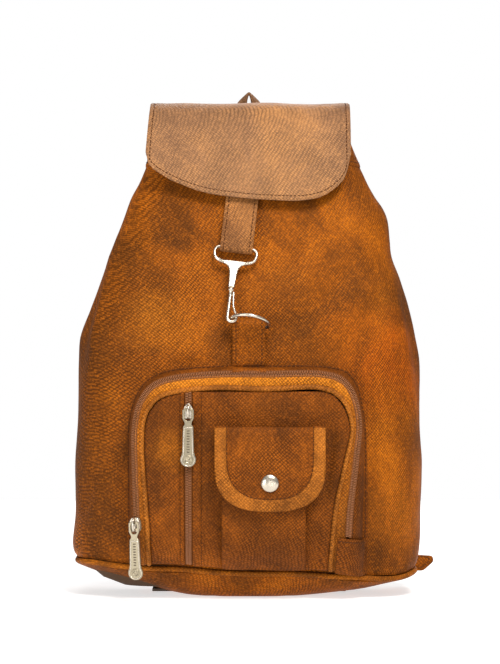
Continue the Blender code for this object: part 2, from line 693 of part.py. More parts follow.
def phone_flap_rows(stand, width_in, low_in, steps_across, steps_along):
    """Rows over the phone flap, from its hinge line down its front."""
    low_x, high_x = PHONE_FLAP_X[0] + width_in, PHONE_FLAP_X[1] - width_in
    middle, reach = (low_x + high_x) / 2, (high_x - low_x) / 2
    rows = [[] for _ in range(steps_along)]
    for i in range(steps_across):
        across = -math.cos(math.pi * i / (steps_across - 1))
        x = middle + reach * across
        low = PHONE_FLAP_LOW_Z + low_in + 0.033 * (1 - (1 - abs(across) ** 2.6) ** (1 / 2.6))
        over = [(PHONE_FOLD + 1.6 * MM, PHONE_FLAP_TOP_Z),
                (PHONE_FLAP_STAND - 1.1 * MM, PHONE_FLAP_TOP_Z - 1.1 * MM),
                (PHONE_FLAP_STAND, PHONE_FLAP_TOP_Z - 4.1 * MM)]
        over += [(PHONE_FLAP_STAND, z) for z in spread(0.1210, low, steps_along - 3)]
        for row, (off, z) in zip(rows, over):
            row.append(Vector((x, POCKET_Y - off - stand, z)))
    return rows


def make_phone_pocket(tan, steel):
    low_x, high_x = PHONE_X
    rows = []
    for z in (0.0262, 0.0320, 0.0390, 0.0470, 0.0600, 0.0800, 0.1000, PHONE_TOP_Z):
        off = phone_stand(z)
        line = [(low_x, 0.7 * MM), (low_x, off - 1.5 * MM), (low_x + 1.5 * MM, off)]
        line += [(x, off) for x in spread(low_x + 14 * MM, high_x - 14 * MM, 3)]
        line += [(high_x - 1.5 * MM, off), (high_x, off - 1.5 * MM), (high_x, 0.7 * MM)]
        rows.append([face_point(x, z, stand) for x, stand in line])
    sheet("phone_pocket_body", rows, 1.3 * MM, tan)

    fold = [[(x, POCKET_Y - off, PHONE_FLAP_TOP_Z) for x in spread(*PHONE_FLAP_X, 3)]
            for off in (PHONE_FOLD, 1.6 * MM)]
    sheet("phone_flap_fold", fold, PHONE_FLAP_T, tan)
    rows = phone_flap_rows(0.0, 0.0, 0.0, 13, 10)
    sheet("phone_flap", [list(reversed(row)) for row in rows], PHONE_FLAP_T, tan)

    outer = phone_flap_rows(1.3 * MM, 0.2 * MM, 0.2 * MM, 25, 10)
    inner = phone_flap_rows(1.3 * MM, 10.5 * MM, 10.5 * MM, 25, 10)
    edge_out = [row[0] for row in outer[2:-1]] + outer[-1] + [row[-1] for row in outer[-2:1:-1]]
    edge_in = [row[0] for row in inner[2:-1]] + inner[-1] + [row[-1] for row in inner[-2:1:-1]]
    sheet("phone_flap_binding", [edge_in, edge_out], 0.9 * MM, tan)

    x, z = SNAP_AT
    front = frame_at((x, 0, z), (1, 0, 0), (0, 0, 1))
    cap_y = POCKET_Y - PHONE_FLAP_STAND - 0.3 * MM
    at = Matrix.Translation((0, cap_y, 0)) @ front
    turned("snap_cap", [(0, 2.6 * MM), (3.0 * MM, 2.4 * MM), (5.4 * MM, 1.7 * MM), (SNAP_R, 0.7 * MM),
                        (SNAP_R, 0.0), (0, 0.0)], at, steel, 20)
    at = Matrix.Translation((0, POCKET_Y - 10.2 * MM, 0)) @ front
    turned("snap_socket", [(0, 0.9 * MM), (4.6 * MM, 0.9 * MM), (5.2 * MM, 0.0), (0, 0.0)],
           at, steel, 16)
    at = Matrix.Translation((0, POCKET_Y - PHONE_STAND - 0.3 * MM, 0)) @ front
    turned("snap_stud", [(0, 1.1 * MM), (2.2 * MM, 1.1 * MM), (2.2 * MM, 0.6 * MM),
                         (5.0 * MM, 0.5 * MM), (5.0 * MM, 0.0), (0, 0.0)], at, steel, 16)


def mirrored(point, side):
    return Vector((point[0] * side, point[1], point[2]))


def make_shoulder_straps(tan, cloth, plastic):
    yoke_y = BACK_Y + 0.3 * MM + BACK_PAD + 0.4 * MM + 0.8 * MM
    frame = Matrix.Translation((0, yoke_y, sum(YOKE_Z) / 2))
    rounded(box("strap_yoke", (0.112, 1.6 * MM, YOKE_Z[1] - YOKE_Z[0]), frame, tan), 0.5 * MM, 1)
    for name, side in (("left", -1), ("right", 1)):
        route = [mirrored(p, side) for p in sampled(SHOULDER_ROUTE, 12)]
        lean = Vector((1.0, 0.0, 0.38 * side)).normalized()
        widths = spread(14.0, 17.0, 12)
        pad = ribbon(f"shoulder_strap_{name}", route, [lean * -w * MM for w in widths], PAD_T, tan)
        rounded(pad, 1.2 * MM, 1)
        route = [mirrored(p, side) for p in sampled(WEBBING_ROUTE[1:], 4)]
        route = [mirrored(WEBBING_ROUTE[0], side)] + route
        lean = Vector((1.0, 0.0, 0.26 * side)).normalized()
        ribbon(f"strap_webbing_{name}", route, [lean * -10 * MM] * len(route), WEBBING_T, cloth)

        top, low = (mirrored(p, side) for p in WEBBING_ROUTE[:2])
        run = (low - top).normalized()
        out = run.cross(lean).normalized()
        out = out if out.y > 0 else -out
        middle = top.lerp(low, 0.3) + out * WEBBING_T / 2
        frame = frame_at(middle, lean, run)
        ring = rounded(box(f"strap_adjuster_{name}", (26 * MM, 12 * MM, 6.4 * MM), frame, plastic),
                       0.8 * MM, 1)
        slot = box(f"adjuster_slot_{name}", (21.6 * MM, 20 * MM, 3.2 * MM), frame, None)
        combine(ring, slot, "DIFFERENCE")


def make_strap_tabs(tan):
    """Leather tabs in the back's lower corners, which hold the ends of the shoulder straps."""
    back = BACK_Y + 0.3 * MM + BACK_PAD + 0.4 * MM
    outlines = {
        "right": [(0.1150, 0.0300), (0.1320, 0.0245), (0.1480, 0.0235), (0.1490, 0.0190),
                  (0.1405, 0.0115), (0.1180, 0.0115)],
        "left": [(-0.1060, 0.0290), (-0.1060, 0.0470), (-0.1240, 0.0450), (-0.1295, 0.0300),
                 (-0.1240, 0.0285)],
    }
    for name, outline in outlines.items():
        frame = frame_at((0, back + 1.5 * MM, 0), (1, 0, 0), (0, 0, 1))
        plate(f"strap_tab_{name}", [outline], 3 * MM, frame, tan)


def main():
    global PARTS, CUTTERS
    clear_scene()
    PARTS = new_collection("leather_backpack")
    CUTTERS = new_collection("cutters")
    tan = material("leather_tan", LEATHER_TAN)
    light = material("leather_light", LEATHER_LIGHT, 0.5)
    dark = material("lining_brown", LEATHER_DARK, 0.8)
    cloth = material("tape_brown", (0.28, 0.11, 0.035), 0.85)
    steel = material("nickel", METAL, 0.25, 1.0)
    plastic = material("buckle_black", (0.03, 0.025, 0.02), 0.4)
    make_body(tan, dark)
    make_back(tan)
    make_base(tan, dark)
    make_flap(light, dark)
    make_haul_loop(light)
    make_flap_strap(light)
    make_hook(steel)
    make_ring_and_strap(tan, steel)
    make_pocket(tan, dark, cloth)
    make_sliders(steel)
    make_phone_pocket(tan, steel)
    make_shoulder_straps(tan, cloth, plastic)
    make_strap_tabs(tan)


main()
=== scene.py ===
"""Looks of the leather backpack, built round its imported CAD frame.

Metres, +Z up, the front faces -Y and +X is on the right when the bag is seen from the front.
Every leather panel is a grid of points on its outer side: rows of points, where the direction
along a row crossed with the direction from row to row points out of the bag.
"""
import math

import bpy
import bmesh
import numpy as np
from mathutils import Matrix, Vector, noise


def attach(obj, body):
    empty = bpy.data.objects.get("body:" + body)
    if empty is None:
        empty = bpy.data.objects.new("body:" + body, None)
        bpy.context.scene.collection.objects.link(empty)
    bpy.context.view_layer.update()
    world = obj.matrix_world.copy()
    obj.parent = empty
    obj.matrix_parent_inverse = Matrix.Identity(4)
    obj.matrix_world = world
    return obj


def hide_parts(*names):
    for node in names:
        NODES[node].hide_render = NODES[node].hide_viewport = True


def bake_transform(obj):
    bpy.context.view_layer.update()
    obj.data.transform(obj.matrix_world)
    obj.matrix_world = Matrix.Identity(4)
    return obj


MM = 0.001
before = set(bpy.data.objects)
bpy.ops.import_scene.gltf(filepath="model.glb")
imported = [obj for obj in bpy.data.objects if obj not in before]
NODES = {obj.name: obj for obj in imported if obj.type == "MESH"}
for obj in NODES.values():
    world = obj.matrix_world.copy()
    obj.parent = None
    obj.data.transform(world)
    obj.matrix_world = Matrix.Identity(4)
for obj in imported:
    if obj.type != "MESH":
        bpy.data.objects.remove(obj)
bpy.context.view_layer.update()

# Body: half widths on each side and depth of the front, at each height
LEFT_WIDTH = ((0.016, 0.1330), (0.030, 0.1370), (0.060, 0.1358), (0.105, 0.1350), (0.135, 0.1330),
              (0.182, 0.1328), (0.198, 0.1325), (0.208, 0.1300), (0.221, 0.1248), (0.245, 0.1162),
              (0.268, 0.1088), (0.292, 0.0981), (0.308, 0.0918), (0.323, 0.0848), (0.340, 0.0785),
              (0.356, 0.0740))
RIGHT_WIDTH = ((0.016, 0.1290), (0.030, 0.1322), (0.072, 0.1350), (0.105, 0.1354), (0.135, 0.1335),
               (0.182, 0.1330), (0.198, 0.1310), (0.221, 0.1262), (0.245, 0.1193), (0.262, 0.1127),
               (0.276, 0.1106), (0.292, 0.1083), (0.301, 0.1046), (0.310, 0.0985), (0.323, 0.0918),
               (0.340, 0.0840), (0.356, 0.0780))
HALF_WIDTH = ((0.016, 0.131), (0.056, 0.1358), (0.151, 0.133), (0.190, 0.1335), (0.213, 0.128),
              (0.245, 0.118), (0.276, 0.108), (0.300, 0.100), (0.323, 0.088), (0.339, 0.081),
              (0.356, 0.076))
FRONT_DEPTH = ((0.016, 0.054), (0.060, 0.063), (0.150, 0.064), (0.220, 0.056), (0.290, 0.040),
               (0.330, 0.026), (0.356, 0.016))
BACK_Y = 0.0545
MOUTH_Z = 0.355
HEM_Z = (0.3332, 0.3562)
PLEAT = 17 * MM          # from one pleat of the mouth to the next
PUCKER = 11 * MM         # and from one pucker at the bottom seam to the next
BACK_TOP_Z = 0.362
BACK_FACE_Y = 0.0603     # outer side of the back
BACK_PAD_Y = 0.0632      # of the pads on it
BACK_PAD_Z, BACK_PAD_RISE = 0.158, 0.104     # their middle and half their height
BACK_SEAM_Z = 0.0245
CARRIER_Y = 0.0607       # and where the yoke and the straps' tabs start
SEAM_LINE = ((-0.138, 0.0262), (-0.120, 0.0262), (-0.1025, 0.0242), (-0.077, 0.0230),
             (-0.051, 0.0222), (-0.0206, 0.0196), (0.0084, 0.0190), (0.042, 0.0184),
             (0.068, 0.0166), (0.093, 0.0148), (0.111, 0.0142), (0.122, 0.0155), (0.138, 0.0215))
SEAM_Z = 0.019
PIPING_R = 2.1 * MM

# Soft folds of the body: points as (distance round the bag from its front's middle, height),
# then the fold's width and how far it stands out
FOLDS = (
    (((-0.108, 0.285), (-0.116, 0.245), (-0.124, 0.205), (-0.130, 0.165)), 7 * MM, 1.7 * MM),
    (((-0.124, 0.262), (-0.134, 0.220), (-0.143, 0.170)), 9 * MM, -3.2 * MM),
    (((-0.104, 0.100), (-0.118, 0.074), (-0.128, 0.050)), 7 * MM, 1.5 * MM),
    (((-0.112, 0.112), (-0.128, 0.085), (-0.140, 0.062)), 8 * MM, -1.8 * MM),
    (((0.108, 0.262), (0.118, 0.225), (0.128, 0.175), (0.134, 0.120)), 8 * MM, 1.2 * MM),
    (((0.124, 0.250), (0.136, 0.210), (0.148, 0.150)), 10 * MM, -2.6 * MM),
    (((0.024, 0.212), (0.040, 0.238), (0.058, 0.286)), 8 * MM, 1.0 * MM),
    (((0.034, 0.204), (0.062, 0.232), (0.086, 0.268)), 8 * MM, -1.3 * MM),
    (((0.052, 0.198), (0.082, 0.222), (0.104, 0.246)), 9 * MM, 0.9 * MM),
    (((-0.026, 0.236), (-0.046, 0.262), (-0.066, 0.300)), 10 * MM, -0.9 * MM),
    (((-0.040, 0.206), (-0.078, 0.232), (-0.100, 0.262)), 11 * MM, 0.9 * MM),
    (((-0.062, 0.190), (-0.096, 0.206), (-0.118, 0.222)), 9 * MM, -1.0 * MM),
    (((0.098, 0.140), (0.116, 0.118), (0.132, 0.106)), 10 * MM, 1.1 * MM),
    (((0.104, 0.060), (0.120, 0.048), (0.138, 0.044)), 8 * MM, -1.0 * MM),
)

# Front pocket: matching points of its seam on the body and of its front edge, as (x, z)
POCKET_SEAM = ((-0.0915, 0.0225), (-0.0920, 0.060), (-0.0920, 0.100), (-0.0915, 0.135),
               (-0.0835, 0.160), (-0.0660, 0.173), (-0.0300, 0.1775), (0.0150, 0.178),
               (0.0580, 0.1775), (0.0780, 0.170), (0.0873, 0.145), (0.0892, 0.110),
               (0.0890, 0.065), (0.0885, 0.0225))
POCKET_FACE = ((-0.0762, 0.0235), (-0.0772, 0.060), (-0.0803, 0.100), (-0.0806, 0.131),
               (-0.0755, 0.147), (-0.0625, 0.1572), (-0.0300, 0.1615), (0.0140, 0.1610),
               (0.0520, 0.1620), (0.0705, 0.1530), (0.0785, 0.132), (0.0735, 0.106),
               (0.0655, 0.068), (0.0622, 0.0245))
# How far the zip leans from the middle of the wall to the front, along the seam's points
ZIP_LEAN = ((0.0, 0.04), (3.0, 0.04), (5.0, -0.06), (8.0, -0.09), (10.0, 0.04), (11.5, 0.10),
            (13.0, 0.10))
POCKET_Y = -0.083
POCKET_HEM_Y = -0.0612
POCKET_HEM_Z = 0.0225
POCKET_SWELL_Z = 0.0675
POCKET_TOP_Z, POCKET_SIDE = 0.182, 0.094     # what the pocket covers of the body
TAPE_DROP = 2.2 * MM
TEETH_AT = 0.44
FLANGE = 0.07
FACE_ZIP_X = -0.0458
POCKET_SLIDER_AT = 0.9675
FACE_SLIDER_Z = 0.1440
FACE_TOP_Z = 0.1590
PATCH_START = len(POCKET_SEAM) - 1 - 0.62

# Phone pocket on the front pocket
PHONE_X = (-0.0205, 0.0430)
PHONE_TOP_Z = 0.1265
PHONE_STAND = 8.5 * MM
PHONE_FLAP_X = (-0.0255, 0.0572)
PHONE_FLAP_TOP_Z = 0.1326
PHONE_FLAP_LOW_Z = 0.0694
PHONE_FLAP_STAND = 14.0 * MM
PHONE_FLAP_T = 2.4 * MM
PHONE_FOLD = 9 * MM
SNAP_AT = (0.0158, 0.0904)

# Main flap: outer line over the top of the bag, as (y, z), then its front edge, as (x, z)
FLAP_OVER = ((0.0645, 0.351), (0.0645, 0.362), (0.0560, 0.3755), (0.0400, 0.3830),
             (0.0150, 0.3850), (-0.0080, 0.3800), (-0.0220, 0.3660), (-0.0290, 0.3500),
             (-0.0370, 0.3300), (-0.0460, 0.3050), (-0.0485, 0.2980))
FLAP_EDGE = ((-0.0800, 0.3440), (-0.0775, 0.3350), (-0.0660, 0.3250), (-0.0380, 0.3130),
             (-0.0070, 0.3080), (0.0200, 0.3060), (0.0390, 0.3056), (0.0550, 0.3085),
             (0.0660, 0.3150), (0.0740, 0.3250), (0.0790, 0.3420))
FLAP_BEND_END = 40
FLAP_T = 1.6 * MM

# Closure: strap, snap hook and ring
STRAP_W = 25 * MM
STRAP_T = 1.5 * MM
EYE_Z = 0.2671
EYE_STAND = 4.8 * MM
RING_Z = 0.2085
RING_STAND = 6.1 * MM
RING_R = 1.3 * MM
RING_HALF = 15 * MM
RING_REACH = 13.5 * MM
RING_CORNER = 3 * MM
RING_HELD = math.radians(160)
RING_TILT = math.radians(26)
RING_ROLL = math.radians(9)
MOUTH_R = 3.3 * MM
NECK_END = 33.0 * MM

# Carrying side
YOKE_Z = (0.300, 0.336)
PAD_T = 6 * MM
WEBBING_T = 1.6 * MM
SHOULDER_ROUTE = ((0.0340, 0.0685, 0.3180), (0.0375, 0.0800, 0.3000), (0.0480, 0.0955, 0.2620),
                  (0.0640, 0.1035, 0.2120), (0.0830, 0.1010, 0.1640), (0.0965, 0.0930, 0.1230))
WEBBING_ROUTE = ((0.0975, 0.0920, 0.1195), (0.1130, 0.0775, 0.0610), (0.1190, 0.0725, 0.0380),
                 (0.1210, 0.0715, 0.0280))

LEFTWARDS = (-1.0, 0.0, 0.0)
# Stitches in millimetres: length, width and height
STITCH, FINE_STITCH = (2.2, 0.8, 0.55), (1.7, 0.5, 0.4)
ZIP_STITCH, WELT_STITCH = (1.9, 0.6, 0.45), (2.6, 0.9, 0.6)

# Camera and light
CAMERA_AWAY = 2.2
CAMERA_Z = 0.204
CAMERA_X = 0.8 * MM
LENS = 152.0


# ---- Curves and surfaces ----

def smooth(table, at):
    """A smooth curve through (position, value) pairs, read at one position."""
    at = min(max(at, table[0][0]), table[-1][0])
    k = max(i for i in range(len(table) - 1) if table[i][0] <= at)
    (x0, y0), (x1, y1) = table[k], table[k + 1]
    before, after = table[max(k - 1, 0)], table[min(k + 2, len(table) - 1)]
    slope0 = (y1 - before[1]) / (x1 - before[0])
    slope1 = (after[1] - y0) / (after[0] - x0)
    t, span = (at - x0) / (x1 - x0), x1 - x0
    return ((2 * t**3 - 3 * t**2 + 1) * y0 + (t**3 - 2 * t**2 + t) * span * slope0
            + (3 * t**2 - 2 * t**3) * y1 + (t**3 - t**2) * span * slope1)


def along(points, t):
    """A smooth curve through points, where t counts from the first to the last one."""
    k = min(int(t), len(points) - 2)
    f = t - k
    p = [Vector(points[min(max(i, 0), len(points) - 1)]) for i in (k - 1, k, k + 1, k + 2)]
    return 0.5 * (2 * p[1] + (p[2] - p[0]) * f + (2 * p[0] - 5 * p[1] + 4 * p[2] - p[3]) * f**2
                  + (3 * p[1] - p[0] - 3 * p[2] + p[3]) * f**3)


def sampled(points, count):
    return [along(points, (len(points) - 1) * i / (count - 1)) for i in range(count)]


def spread(low, high, count):
    return [low + (high - low) * i / (count - 1) for i in range(count)]


def eased(low, high, count, start=True, end=True):
    """Values between two ends, closer together at the ends that are asked for."""
    found = []
    for i in range(count):
        t = i / (count - 1)
        if start and end:
            t = (1 - math.cos(math.pi * t)) / 2
        elif end:
            t = math.sin(math.pi * t / 2)
        elif start:
            t = 1 - math.cos(math.pi * t / 2)
        found.append(low + (high - low) * t)
    return found


def resampled(line, step, closed=False):
    """Points at an even distance along a line."""
    line = np.array([tuple(p) for p in line], float)
    if closed:
        line = np.vstack([line, line[:1]])
    runs = np.linalg.norm(np.diff(line, axis=0), axis=1)
    reach = np.concatenate([[0], np.cumsum(runs)])
    count = max(int(round(reach[-1] / step)), 1)
    at = np.linspace(0, reach[-1], count + 1)
    if closed:
        at = at[:-1]
    return np.stack([np.interp(at, reach, line[:, k]) for k in range(3)], axis=1)


def frame_at(origin, x_axis, y_axis):
    """A frame whose X and Y axes are given and whose Z is their cross product."""
    x = Vector(x_axis).normalized()
    z = x.cross(Vector(y_axis)).normalized()
    y = z.cross(x)
    made = Matrix((x, y, z)).transposed().to_4x4()
    made.translation = origin
    return made


def grid_normals(grid, ring=False, run=None):
    """Each point's outward direction. Run is the direction along the rows where it is fixed."""
    if run is not None:
        run = np.array(run, float)
    elif ring:
        run = np.roll(grid, -1, axis=1) - np.roll(grid, 1, axis=1)
    else:
        run = np.gradient(grid, axis=1)
    rise = np.gradient(grid, axis=0)
    found = np.cross(run, rise)
    return found / np.maximum(np.linalg.norm(found, axis=2, keepdims=True), 1e-12)


def raised(grid, height, ring=False, run=None):
    """The grid with each point moved outwards by its height."""
    return grid + grid_normals(grid, ring, run) * height[..., None]


def distance_to(points, line):
    """How far each point of an array is from the nearest point of a line."""
    flat = points.reshape(-1, 3)
    found = np.full(len(flat), 1e9)
    for part in np.array_split(np.asarray(line, float), max(len(line) // 60, 1)):
        gaps = np.linalg.norm(flat[:, None, :] - part[None, :, :], axis=2)
        found = np.minimum(found, gaps.min(axis=1))
    return found.reshape(points.shape[:-1])


def bell(distance, width):
    return np.exp(-(distance / width) ** 2)


def rough(grid, size, amount, seed):
    """Soft unevenness: a height for each point of a grid, with bumps of about this size."""
    flat = grid.reshape(-1, 3) / size
    found = [noise.noise(Vector(p) + Vector((seed, seed * 0.37, -seed))) for p in flat]
    return np.array(found).reshape(grid.shape[:-1]) * amount


def outline(grid, sides="blrt"):
    """The chosen edges of a grid, in order round it: left, top, right and bottom."""
    edges = {"l": grid[:, 0], "t": grid[-1], "r": grid[::-1, -1], "b": grid[0, ::-1]}
    return np.vstack([edge for side, edge in edges.items() if side in sides])


def sewn(grid, edges, seams=(), cut=0.7 * MM, sink=0.3 * MM, run=None):
    """A panel's outer side with rounded edges and a groove under each line of stitches."""
    height = np.zeros(grid.shape[:2])
    for edge in edges:
        height -= cut * bell(distance_to(grid, resampled(edge, 0.8 * MM)), 0.9 * MM)
    for seam in seams:
        height -= sink * bell(distance_to(grid, resampled(seam, 0.8 * MM)), 0.9 * MM)
    return raised(grid, height, run=run)


# ---- Meshes ----

def linked(name, data):
    made = bpy.data.objects.new(name, data)
    bpy.context.scene.collection.objects.link(made)
    return made


def skin_faces(rings, sides, start=0):
    """The faces of a closed skin over rings of points, with flat ends."""
    last = start + (rings - 1) * sides
    faces = [(a + k, a + (k + 1) % sides, a + sides + (k + 1) % sides, a + sides + k)
             for a in range(start, last, sides) for k in range(sides)]
    faces.append(tuple(range(start + sides - 1, start - 1, -1)))
    faces.append(tuple(range(last, last + sides)))
    return faces


def new_mesh(name, points, faces, finish):
    data = bpy.data.meshes.new(name)
    data.from_pydata([tuple(p) for p in points], [], faces)
    data.validate()
    data.shade_smooth()
    data.materials.append(finish)
    return linked(name, data)


def panel(name, grid, thickness, finish, ring=False, floor=False, run=None):
    """A closed sheet: the grid is its outer side and the thickness goes inwards."""
    rows, width = grid.shape[:2]
    back = grid - grid_normals(grid, ring, run) * thickness
    points = np.vstack([grid.reshape(-1, 3), back.reshape(-1, 3)])
    size, faces = rows * width, []
    steps = width if ring else width - 1
    for i in range(rows - 1):
        for j in range(steps):
            a, b = i * width + j, i * width + (j + 1) % width
            c, d = b + width, a + width
            faces.append((a, b, c, d))
            faces.append((size + d, size + c, size + b, size + a))
    for j in range(steps):
        k, top = (j + 1) % width, (rows - 1) * width
        faces.append((top + j, top + k, size + top + k, size + top + j))
        if not floor:
            faces.append((k, j, size + j, size + k))
    if floor:
        faces.append(tuple(reversed(range(width))))
        faces.append(tuple(size + j for j in range(width)))
    if not ring:
        for i in range(rows - 1):
            a, d = i * width, (i + 1) * width
            faces.append((a, d, size + d, size + a))
            b, c = a + width - 1, d + width - 1
            faces.append((c, b, size + b, size + c))
    return new_mesh(name, points, faces, finish)


def tube(name, line, radius, finish, closed=False, sides=12, radii=None):
    """A round wire or cord along a line, with round ends where it isn't closed."""
    line = np.array([tuple(p) for p in line], float)
    count = len(line)
    if radii is None:
        radii = np.ones(count)
    if closed:
        runs = np.roll(line, -1, axis=0) - np.roll(line, 1, axis=0)
    else:
        runs = np.gradient(line, axis=0)
        unit0, unit1 = (r / np.linalg.norm(r) * radius for r in (runs[0], runs[-1]))
        head = [line[0] - unit0 * 0.7 * radii[0], line[0] - unit0 * 0.45 * radii[0]]
        tail = [line[-1] + unit1 * 0.45 * radii[-1], line[-1] + unit1 * 0.7 * radii[-1]]
        line = np.vstack([head, line, tail])
        runs = np.vstack([runs[:1], runs[:1], runs, runs[-1:], runs[-1:]])
        radii = np.concatenate([[0.35 * radii[0], 0.8 * radii[0]], radii,
                                [0.8 * radii[-1], 0.35 * radii[-1]]])
        count = len(line)
    runs = runs / np.linalg.norm(runs, axis=1, keepdims=True)
    side = np.cross(runs[0], (0.3, 0.5, 0.8))
    points, faces = [], skin_faces(count, sides)
    for i in range(count):
        side = side - runs[i] * side.dot(runs[i])
        side /= np.linalg.norm(side)
        other = np.cross(runs[i], side)
        for k in range(sides):
            a = 2 * math.pi * k / sides
            points.append(line[i] + (side * math.cos(a) + other * math.sin(a)) * radius * radii[i])
    if closed:
        last = (count - 1) * sides
        twist = int(np.argmin([np.linalg.norm(points[last] - p) for p in points[:sides]]))
        faces[-2:] = [(last + k, last + (k + 1) % sides, (k + 1 + twist) % sides,
                       (k + twist) % sides) for k in range(sides)]
    return new_mesh(name, points, faces, finish)


def settled(piece):
    """The piece as a plain mesh, with its curve settings and modifiers applied."""
    shown = piece.evaluated_get(bpy.context.evaluated_depsgraph_get())
    data = bpy.data.meshes.new_from_object(shown)
    name, place = piece.name, piece.matrix_world.copy()
    bpy.data.objects.remove(piece, do_unlink=True)
    data.transform(place)
    return linked(name, data)


def rounded_outline(points, radius, steps=4):
    """A closed outline in which each corner is an arc-like curve."""
    found, count = [], len(points)
    for i, p in enumerate(points):
        p = Vector(p)
        before, after = Vector(points[i - 1]) - p, Vector(points[(i + 1) % count]) - p
        cut = min(radius, before.length * 0.45, after.length * 0.45)
        a, b = p + before.normalized() * cut, p + after.normalized() * cut
        for k in range(steps + 1):
            t = k / steps
            found.append(a * (1 - t) ** 2 + p * 2 * t * (1 - t) + b * t**2)
    return found


def in_mm(points):
    return [tuple(c * MM for c in p) for p in points]


def both_sides(half):
    """A whole outline from its right half: the left half mirrors it."""
    return half + [(-x, y) for x, y in reversed(half)]


def plate(name, outlines, thickness, bevel, frame, finish):
    """A flat piece with rounded edges from closed 2D outlines: its outside, then its holes."""
    curve = bpy.data.curves.new(name, "CURVE")
    curve.dimensions = "2D"
    curve.fill_mode = "BOTH"
    curve.extrude = thickness / 2 - bevel
    curve.bevel_depth = bevel
    curve.bevel_resolution = 2
    curve.offset = -bevel
    for points in outlines:
        line = curve.splines.new("POLY")
        line.points.add(len(points) - 1)
        for slot, p in zip(line.points, points):
            slot.co = (p[0], p[1], 0.0, 1.0)
        line.use_cyclic_u = True
    made = linked(name, curve)
    made.matrix_world = frame
    bpy.context.view_layer.update()
    made = settled(made)
    made.data.materials.clear()
    made.data.materials.append(finish)
    tidy = bmesh.new()
    tidy.from_mesh(made.data)
    bmesh.ops.remove_doubles(tidy, verts=tidy.verts, dist=0.004 * MM)
    bmesh.ops.recalc_face_normals(tidy, faces=tidy.faces)
    tidy.to_mesh(made.data)
    tidy.free()
    return made


def turned(name, rims, frame, finish, steps):
    """A turned piece: (radius, height) from its top down its outer side, round the frame's Z."""
    points = [frame @ Vector((r * math.cos(a), r * math.sin(a), h))
              for r, h in rims for a in spread(0, 2 * math.pi, steps + 1)[:-1]]
    faces = [face[:1] + face[:0:-1] for face in skin_faces(len(rims), steps)]
    return new_mesh(name, points, faces, finish)


def joined(name, pieces):
    """Several pieces made one object."""
    for piece in pieces:
        piece.data.transform(piece.matrix_world)
        piece.matrix_world = Matrix.Identity(4)
    mesh = bmesh.new()
    finishes = []
    for piece in pieces:
        before = len(mesh.faces)
        mesh.from_mesh(piece.data)
        mesh.faces.ensure_lookup_table()
        slots = []
        for finish in piece.data.materials:
            if finish not in finishes:
                finishes.append(finish)
            slots.append(finishes.index(finish))
        for face in mesh.faces[before:]:
            face.material_index = slots[min(face.material_index, len(slots) - 1)]
        bpy.data.objects.remove(piece, do_unlink=True)
    data = bpy.data.meshes.new(name)
    mesh.to_mesh(data)
    mesh.free()
    for finish in finishes:
        data.materials.append(finish)
    return linked(name, data)


def bars(name, places, runs, normals, size, finish):
    """A row of small rounded bars: stitches or zip teeth. Size is length, width and height."""
    length, width, height = size
    ring = [(math.cos(a), math.sin(a)) for a in (0.3, 1.2, 1.94, 2.84, 4.0, 5.42)]
    stations = ((-0.5, 0.45), (-0.32, 1.0), (0.32, 1.0), (0.5, 0.45))
    points, faces = [], []
    for place, run, normal in zip(places, runs, normals):
        run = run - normal * run.dot(normal)
        run = run / max(np.linalg.norm(run), 1e-9)
        side = np.cross(normal, run)
        start = len(points)
        for at, scale in stations:
            for c, s in ring:
                points.append(place + run * at * length + side * c * width / 2 * scale
                              + normal * s * height / 2 * scale)
        faces += skin_faces(len(stations), len(ring), start)
    return new_mesh(name, points, faces, finish)


def stitches(name, line, grid, pitch=3.1 * MM, size=STITCH, slant=0.0, closed=False,
             ring=False, run=None):
    """Stitches along a line on a grid's outer side, each pressed onto the surface."""
    places = resampled(line, pitch, closed)
    flat, out = grid.reshape(-1, 3), grid_normals(grid, ring, run).reshape(-1, 3)
    runs = np.gradient(places, axis=0)
    kept, normals = [], []
    for place in places:
        k = int(np.argmin(((flat - place) ** 2).sum(axis=1)))
        normal = out[k]
        kept.append(place - normal * normal.dot(place - flat[k]) + normal * 0.08 * MM)
        normals.append(normal)
    if slant:
        turn = math.radians(slant)
        runs = [r / np.linalg.norm(r) * math.cos(turn)
                + np.cross(n, r / np.linalg.norm(r)) * math.sin(turn)
                for r, n in zip(runs, normals)]
    return bars(name, kept, runs, normals, [s * MM for s in size], THREAD)


def put(piece, body, slot, *nodes):
    """The piece moves with a body and stands for CAD nodes; its slot is not used."""
    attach(piece, body)
    if nodes:
        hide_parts(*nodes)


def lay(name, grid, thickness, finish, *nodes, body="root", slot="leather_tan", **how):
    """A panel that moves with a body and stands for CAD nodes."""
    put(panel(name, grid, thickness, finish, **how), body, slot, *nodes)


def stitch(name, line, grid, body="root", slot="leather_tan", **how):
    """A row of stitches that moves with a body."""
    put(stitches(name, line, grid, **how), body, slot)


# ---- Materials ----

